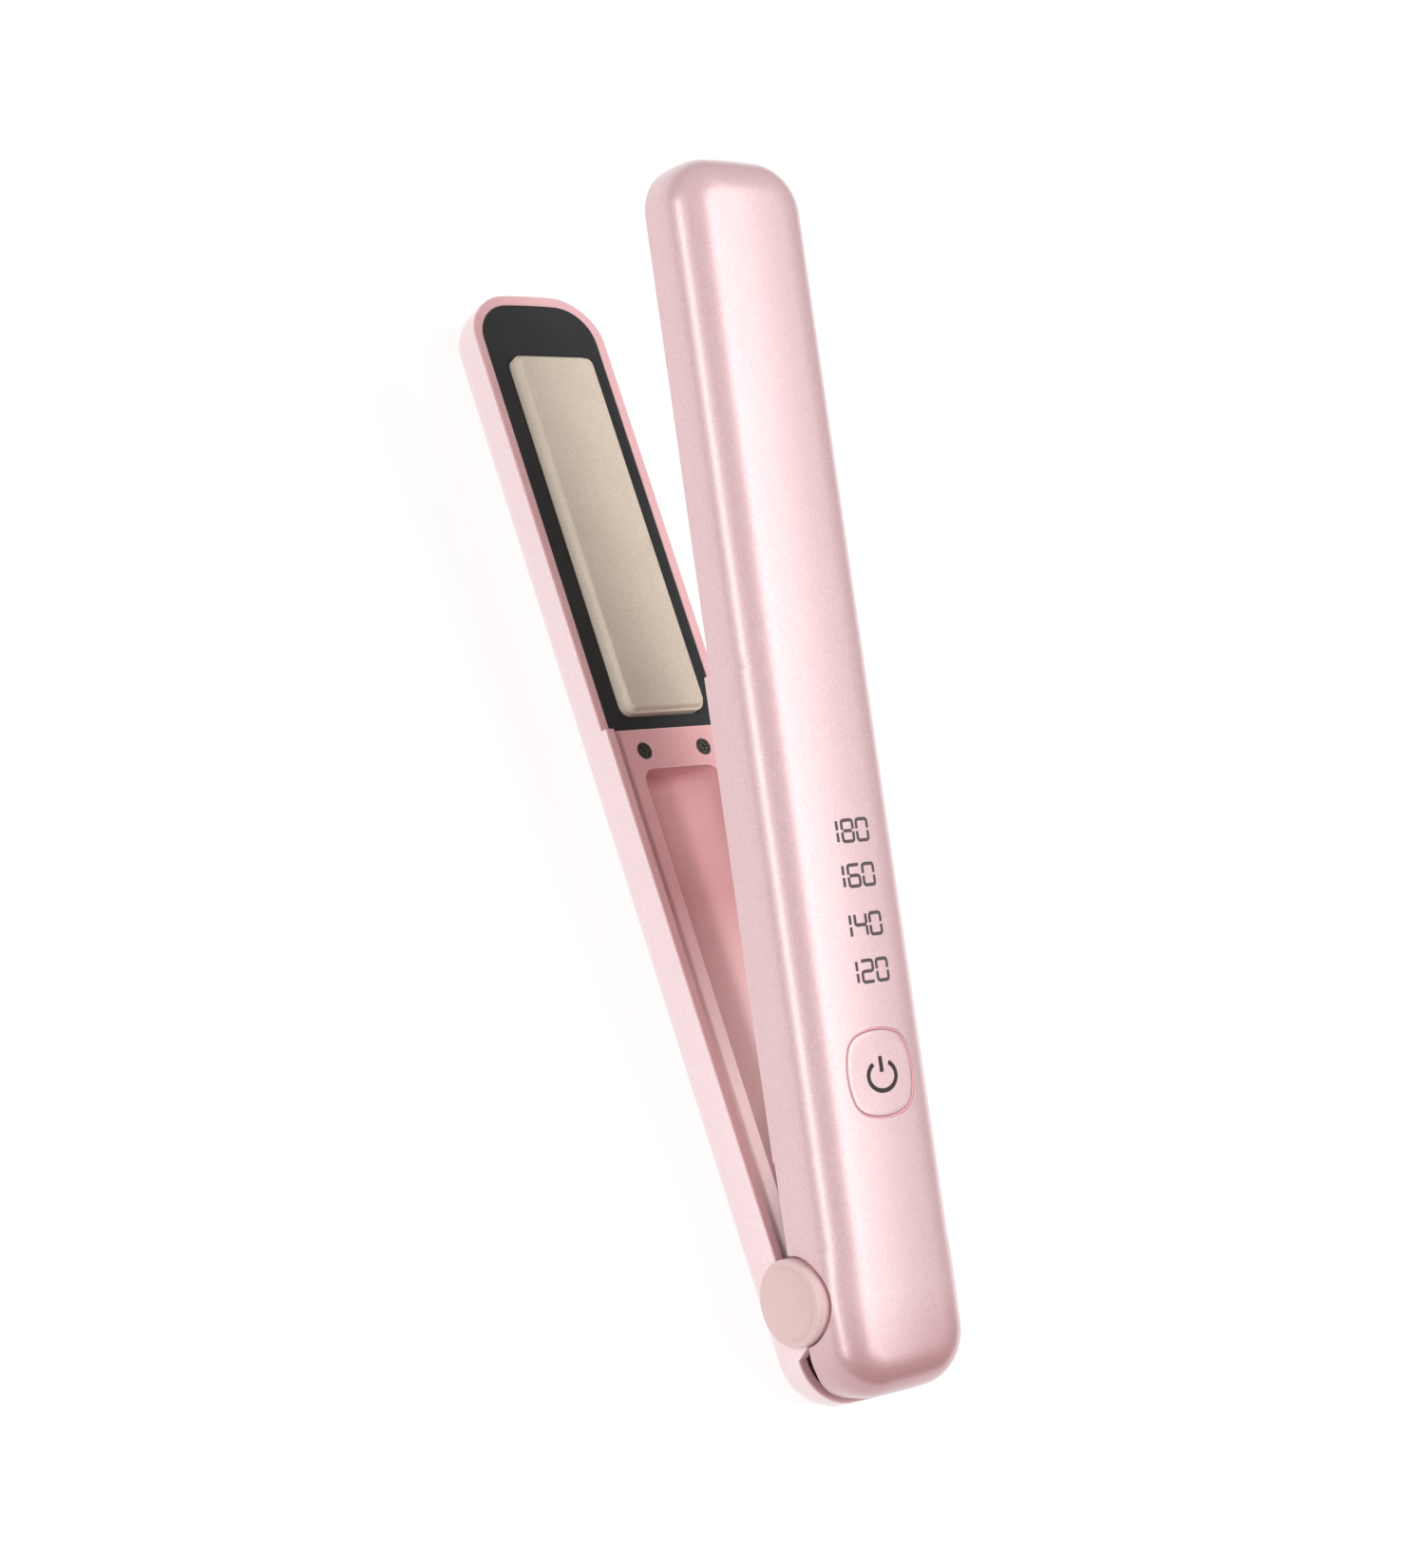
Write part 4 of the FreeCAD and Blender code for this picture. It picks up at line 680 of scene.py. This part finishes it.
def build_shells():
    upper_mesh = arm_shell(UPPER_TOP, UPPER_ROUNDING, UPPER_CROWN, upper_edge, 1)
    upper = add_piece("upper_shell", upper_mesh, UPPER, "upper_arm", "pearl_shell",
                      ["pearl_shell", "raw_pink"])
    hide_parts("upper_arm_shell")
    through_top, through_heel = (6 * MM, 12 * MM), (-18.5 * MM, -12.5 * MM)
    hole = stack(button_outline, [(-SEAL_GAP, z) for z in through_top])
    slot = stack(rounded_rectangle((-SLOT_HALF, SLOT_LOW), (SLOT_HALF, SLOT_HIGH), SLOT_CORNER),
                 [(0, x) for x in through_heel])
    # the slot's outline is drawn across the arm: its own z runs along x
    along_x = Matrix(((0, 0, 1, 0), (1, 0, 0, 0), (0, 1, 0, 0), (0, 0, 0, 1)))
    cut(upper, [cutter_from(hole, UPPER), cutter_from(slot, UPPER @ along_x)])
    lower_mesh = arm_shell(LOWER_BASE, LOWER_ROUNDING, LOWER_CROWN, lower_edge, -1)
    # the lower shell's outer faces get the paler lacquer copy: painted light
    lower = add_piece("lower_shell", lower_mesh, LOWER, "lower_arm", "pearl_shell",
                      ["pearl_lower_painted_light", "raw_pink"])
    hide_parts("lower_arm_shell")


# ---- button, numerals and symbol ------------------------------------------------------

def on_crown(y, z):
    """z lowered by the crown: not at all at the button's flange, fully at the top face."""
    share = (z - BUTTON_FLANGE) / (UPPER_TOP - BUTTON_FLANGE)
    return z - crown(y) * min(max(share, 0.0), 1.0)


def build_button():
    """The cap on its hidden flange, with a soft rim and a shallow bowl, and the lip round it."""
    back = 7.85 * MM
    flange_width = 0.9 * MM
    bowl_reach = 6.5 * MM
    rim = [(0.0, BUTTON_FLANGE), (0.0, BUTTON_TOP - 0.30 * MM),
           (0.05 * MM, BUTTON_TOP - 0.12 * MM), (0.16 * MM, BUTTON_TOP - 0.03 * MM),
           (0.32 * MM, BUTTON_TOP)]
    bowl = [(inset, BUTTON_TOP - BUTTON_DISH * (1 - ((bowl_reach - inset) / bowl_reach) ** 2))
            for inset in (1 * MM, 2 * MM, 3 * MM)]
    profile = [(-flange_width, back), (-flange_width, BUTTON_FLANGE)] + rim + bowl
    button = add_piece("power_button_cap", stack(button_outline, profile, on_crown), UPPER,
                       "power_button", "pearl_shell")
    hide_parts("power_button")
    outer, inner, soft = -0.39 * MM, -0.06 * MM, 0.08 * MM
    low, high, crest = 8.9 * MM, BUTTON_TOP - 0.12 * MM, BUTTON_TOP - 0.06 * MM
    ring = [(outer, low), (outer, high), (outer + soft, crest),
            (inner - soft, crest), (inner, high), (inner, low)]
    seal = add_piece("button_lip", stack(button_outline, ring, on_crown, closed=True), UPPER,
                     "upper_arm", "seal_rubber")
    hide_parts("button_seal")


def soft_corners(points, radius):
    """A path with its corners rounded."""
    steps = 4
    result = [points[0]]
    for before, here, after in zip(points, points[1:], points[2:]):
        back = (before - here).normalized() * radius
        onward = (after - here).normalized() * radius
        for step in range(steps + 1):
            share = step / steps
            result.append((here + back) * (1 - share) ** 2 + here * 2 * share * (1 - share)
                          + (here + onward) * share ** 2)
    result.append(points[-1])
    return result


def stroke(mesh_data, points, width, base, thick):
    """A thin raised line of even width along a path, on a face whose height is base(y)."""
    left, right = [], []
    for index, here in enumerate(points):
        before = points[max(index - 1, 0)]
        after = points[min(index + 1, len(points) - 1)]
        along = (after - before).normalized()
        across = Vector((-along.y, along.x)) * width / 2
        left.append(here + across)
        right.append(here - across)

    def raised(point, height):
        return mesh_data.verts.new((point.x, point.y, base(point.y) + height))

    rows = [[raised(a, 0), raised(a, thick), raised(b, thick), raised(b, 0)]
            for a, b in zip(left, right)]
    for first, second in zip(rows, rows[1:]):
        for side in range(4):
            following = (side + 1) % 4
            mesh_data.faces.new((first[side], first[following], second[following], second[side]))
    mesh_data.faces.new(rows[0])
    mesh_data.faces.new(list(reversed(rows[-1])))


# strokes of each digit in a unit box, (right, up) points; gaps as on a segment display
DIGITS = {
    "0": [[(0, .56), (0, 1), (1, 1), (1, .56)], [(0, .44), (0, 0), (1, 0), (1, .44)]],
    "1": [[(.5, 1), (.5, .56)], [(.5, .44), (.5, 0)]],
    "2": [[(0, 1), (1, 1), (1, .5), (0, .5), (0, 0), (1, 0)]],
    "4": [[(0, 1), (0, .5), (1, .5)], [(1, 1), (1, .56)], [(1, .44), (1, 0)]],
    "6": [[(1, 1), (0, 1), (0, .56)], [(.1, .5), (1, .5), (1, 0), (0, 0), (0, .44)]],
    "8": [[(0, .56), (0, 1), (1, 1), (1, .56)], [(.12, .5), (.88, .5)],
          [(0, .44), (0, 0), (1, 0), (1, .44)]],
}

NUMERALS = {"120": 49.8 * MM, "140": 57.2 * MM, "160": 65.1 * MM, "180": 72.3 * MM}


def build_numerals():
    """Each numeral reads across the arm, from left to right, with its top towards the tip."""
    height, digit_width, one_width = 3.4 * MM, 2.35 * MM, 0.4 * MM
    advance = (0.0, 1.25 * MM, 4.45 * MM)
    text_start = 1.25 * MM
    line_width, corner, thick = 0.55 * MM, 0.5 * MM, 0.02 * MM

    def face_height(y):
        return UPPER_TOP - crown(y)

    for text, x_middle in NUMERALS.items():
        mesh_data = bmesh.new()
        for digit, start in zip(text, advance):
            across = one_width if digit == "1" else digit_width
            for path in DIGITS[digit]:
                points = [Vector((x_middle + (up - 0.5) * height,
                                  text_start - start - right * across))
                          for right, up in path]
                stroke(mesh_data, soft_corners(points, corner), line_width, face_height, thick)
        add_piece("numeral_" + text, mesh_data, UPPER, "upper_arm", "switch_black", ["ink"])


def build_power_symbol():
    """An open ring and a bar, a little flattened along the arm."""
    middle = Vector((33.15 * MM, -1.2 * MM))
    radius, squash, opening = 2.95 * MM, 0.8, math.radians(34)
    line_width, ring_thick, bar_thick = 0.72 * MM, 0.03 * MM, 0.04 * MM
    under_face = 0.125 * MM
    steps = 48

    def button_height(y):
        return UPPER_TOP - under_face - crown(y)

    mesh_data = bmesh.new()
    ring = []
    for step in range(steps + 1):
        angle = opening + (2 * math.pi - 2 * opening) * step / steps
        ring.append(middle + Vector((math.cos(angle) * squash, math.sin(angle))) * radius)
    stroke(mesh_data, ring, line_width, button_height, ring_thick)
    bar = [middle + Vector((x, 0)) for x in (0.6 * MM, 1.4 * MM, 2.2 * MM, 3.1 * MM)]
    stroke(mesh_data, bar, line_width, button_height, bar_thick)
    add_piece("power_symbol", mesh_data, UPPER, "power_button", "switch_black", ["button_ink"])


# ---- plates and hinge discs -----------------------------------------------------------

def build_plate(arm, place, rim, proud, sign):
    """A coated plate with a small ledge and a soft chamfer, on its hidden flange. The plate
    stands proud of its arm's rim, whose z is given."""
    base = rounded_rectangle((PLATE_START, -PLATE_HALF), (PLATE_END, PLATE_HALF), PLATE_CORNER)
    flange, back, under = -1.2 * MM, -3.0 * MM, -2.0 * MM
    ledge = max(proud - 1.15 * MM, 0.1 * MM)
    # (inset, height over the rim) up the flange, the side, the ledge and the chamfer
    steps = [(flange, back), (flange, under), (0, under), (0, ledge),
             (0.1 * MM, ledge + 0.1 * MM), (0.32 * MM, ledge + 0.14 * MM),
             (0.4 * MM, ledge + 0.22 * MM), (0.56 * MM, proud - 0.42 * MM),
             (0.72 * MM, proud - 0.14 * MM), (0.9 * MM, proud - 0.03 * MM), (1.15 * MM, proud)]
    profile = [(inset, sign * height + rim) for inset, height in steps]
    piece = add_piece(arm + "_plate_face", stack(base, profile), place, arm + "_plate",
                      "champagne_plate")
    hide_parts(arm + "_heating_plate")


def build_cap(side, sign):
    """Domed disc on an ear: a round shoulder, a narrow flat ring, then the dome."""
    radius, thick = CAP_RADIUS[side], CAP_THICK[side]

    def outline(inset):
        return arc((0, 0), max(radius - inset, 0.05 * MM), 0, 2 * math.pi, 72)

    # shares of the radius inwards and of the thickness outwards
    steps = [(0.0, 0.0), (0.0, 0.5), (0.012, 0.585), (0.04, 0.635), (0.08, 0.655),
             (0.13, 0.668), (0.15, 0.7), (0.175, 0.77), (0.21, 0.82), (0.27, 0.87),
             (0.36, 0.93), (0.48, 0.99), (0.62, 1.04), (0.8, 1.07), (0.94, 1.08)]
    profile = [(inset * radius, HALF_WIDTH + share * thick) for inset, share in steps]
    outwards = Matrix.Rotation(-sign * math.pi / 2, 4, "X")
    piece = add_piece(side + "_disc", stack(outline, profile), LOWER @ outwards, "lower_arm",
                      "pink_cap")
    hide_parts(side + "_hinge_cap")


# ---- nodes carried over from the design -----------------------------------------------

def dress_nodes():
    """Give every CAD node that still shows its detailed material."""
    slots = {entry["node"]: entry["material_slot"] for entry in frame["record"]["subparts"]}
    for name, node in frame["nodes"].items():
        node.data.materials.clear()
        node.data.materials.append(MATERIALS[slots[name]])
        node.data.shade_smooth()
        node.data.set_sharp_from_angle(angle=SHARP_ANGLE)


# ---- stage, light and camera ----------------------------------------------------------

def build_stage():
    """A pale light table: its middle glows softly, so that the object casts hardly any
    shadow, and the heel reflects its dimmer far side."""
    half = 3.0
    glow_middle = (0.12, 0.14, 0.0)
    glow_start, glow_end = 0.36, 1.5
    glow_inside, glow_outside = 0.68, 0.42
    surface = Surface("pale_floor")
    grain = surface.noise(4 * MM, 2.0)
    reach = surface.add("ShaderNodeVectorMath", operation="DISTANCE")
    surface.feed(reach.inputs[0], surface.place)
    reach.inputs[1].default_value = glow_middle
    glow = surface.spread(reach.outputs["Value"], glow_inside, glow_outside,
                          glow_start, glow_end)
    surface.set(Base_Color=surface.mix(grain, srgb(160, 160, 160), srgb(164, 164, 164)),
                Roughness=surface.spread(grain, 0.65, 0.75), Specular_IOR_Level=0.05,
                Emission_Color=(1.0, 0.99, 0.99, 1.0), Emission_Strength=glow)
    mesh = bpy.data.meshes.new("floor")
    mesh.from_pydata([(-half, -half, 0), (half, -half, 0), (half, half, 0), (-half, half, 0)],
                     [], [(0, 1, 2, 3)])
    mesh.materials.append(surface.material)
    floor = add_object("floor", mesh)


def build_world():
    """A dim studio, brighter overhead and towards the tips; the camera itself sees plain
    white past the floor."""
    brightest_way = (0.5, 0.0, 0.9)
    dim, bright, seen_by_camera = 0.28, 0.6, 1.0
    world = bpy.data.worlds.new("studio")
    world.use_nodes = True
    nodes, links = world.node_tree.nodes, world.node_tree.links
    background = nodes["Background"]
    height = nodes.new("ShaderNodeVectorMath")
    height.operation = "DOT_PRODUCT"
    height.inputs[1].default_value = brightest_way
    links.new(nodes.new("ShaderNodeTexCoord").outputs["Generated"], height.inputs[0])
    sky = nodes.new("ShaderNodeMapRange")
    sky.inputs["To Min"].default_value = dim
    sky.inputs["To Max"].default_value = bright
    links.new(height.outputs["Value"], sky.inputs["Value"])
    strength = nodes.new("ShaderNodeMix")
    links.new(nodes.new("ShaderNodeLightPath").outputs["Is Camera Ray"],
              strength.inputs["Factor"])
    links.new(sky.outputs[0], strength.inputs["A"])
    strength.inputs["B"].default_value = seen_by_camera
    links.new(strength.outputs[0], background.inputs["Strength"])
    background.inputs["Color"].default_value = (1.0, 0.985, 0.98, 1.0)
    bpy.context.scene.world = world


def soft_box(name, direction, distance, size, radiance):
    """A light facing the object, its long side along x, that fades towards its long edges:
    narrower and narrower lights lie on each other."""
    layers = 4
    away = Vector(direction).normalized()
    side = Vector((1, 0, 0)) - away * away.x
    side.normalize()
    turn = Matrix((side, away.cross(side), away)).transposed().to_4x4()
    aim = Vector((0, 0, 20 * MM))
    for layer in range(layers):
        light = bpy.data.lights.new(name, "AREA")
        light.shape = "RECTANGLE"
        light.size = size[0]
        light.size_y = size[1] * (layer + 1) / layers
        light.energy = radiance / layers * math.pi * light.size * light.size_y
        holder = add_object(name, light)
        holder.matrix_world = Matrix.Translation(aim + away * distance) @ turn
        holder.visible_camera = False


def build_lights():
    """A broad key from above the right side, and a bright strip along the left side."""
    soft_box("key", direction=(-0.174, -0.402, 0.898), distance=0.75, size=(0.7, 0.4),
             radiance=10.6)
    soft_box("strip", direction=(-0.065, 0.865, 0.497), distance=0.8, size=(0.9, 0.15),
             radiance=18.0)


def build_camera():
    """Above and in front of the left side, looking down the arms with the tips up."""
    place = Vector((-133.97, 326.47, 384.78)) * MM
    forward = Vector((0.26868, -0.63849, -0.72120)).normalized()
    upwards = Vector((0.91524, -0.06418, 0.39778))
    right = forward.cross(upwards).normalized()
    turn = Matrix((right, right.cross(forward), -forward)).transposed().to_4x4()
    data = bpy.data.cameras.new("camera")
    data.sensor_fit = "AUTO"
    data.sensor_width = 36.0
    data.lens = 70.49
    data.clip_start, data.clip_end = 0.01, 20.0
    camera = add_object("camera", data)
    camera.matrix_world = Matrix.Translation(place) @ turn
    bpy.context.scene.camera = camera


dress_nodes()
build_shells()
build_button()
build_numerals()
build_power_symbol()
build_plate("lower", LOWER, -LOWER_RIM, LOWER_PLATE_PROUD, 1)
build_plate("upper", UPPER, UPPER_RIM, UPPER_PLATE_PROUD, -1)
build_cap("left", 1)
build_cap("right", -1)
build_stage()
build_world()
build_lights()
build_camera()
bpy.context.scene.view_settings.view_transform = "Standard"
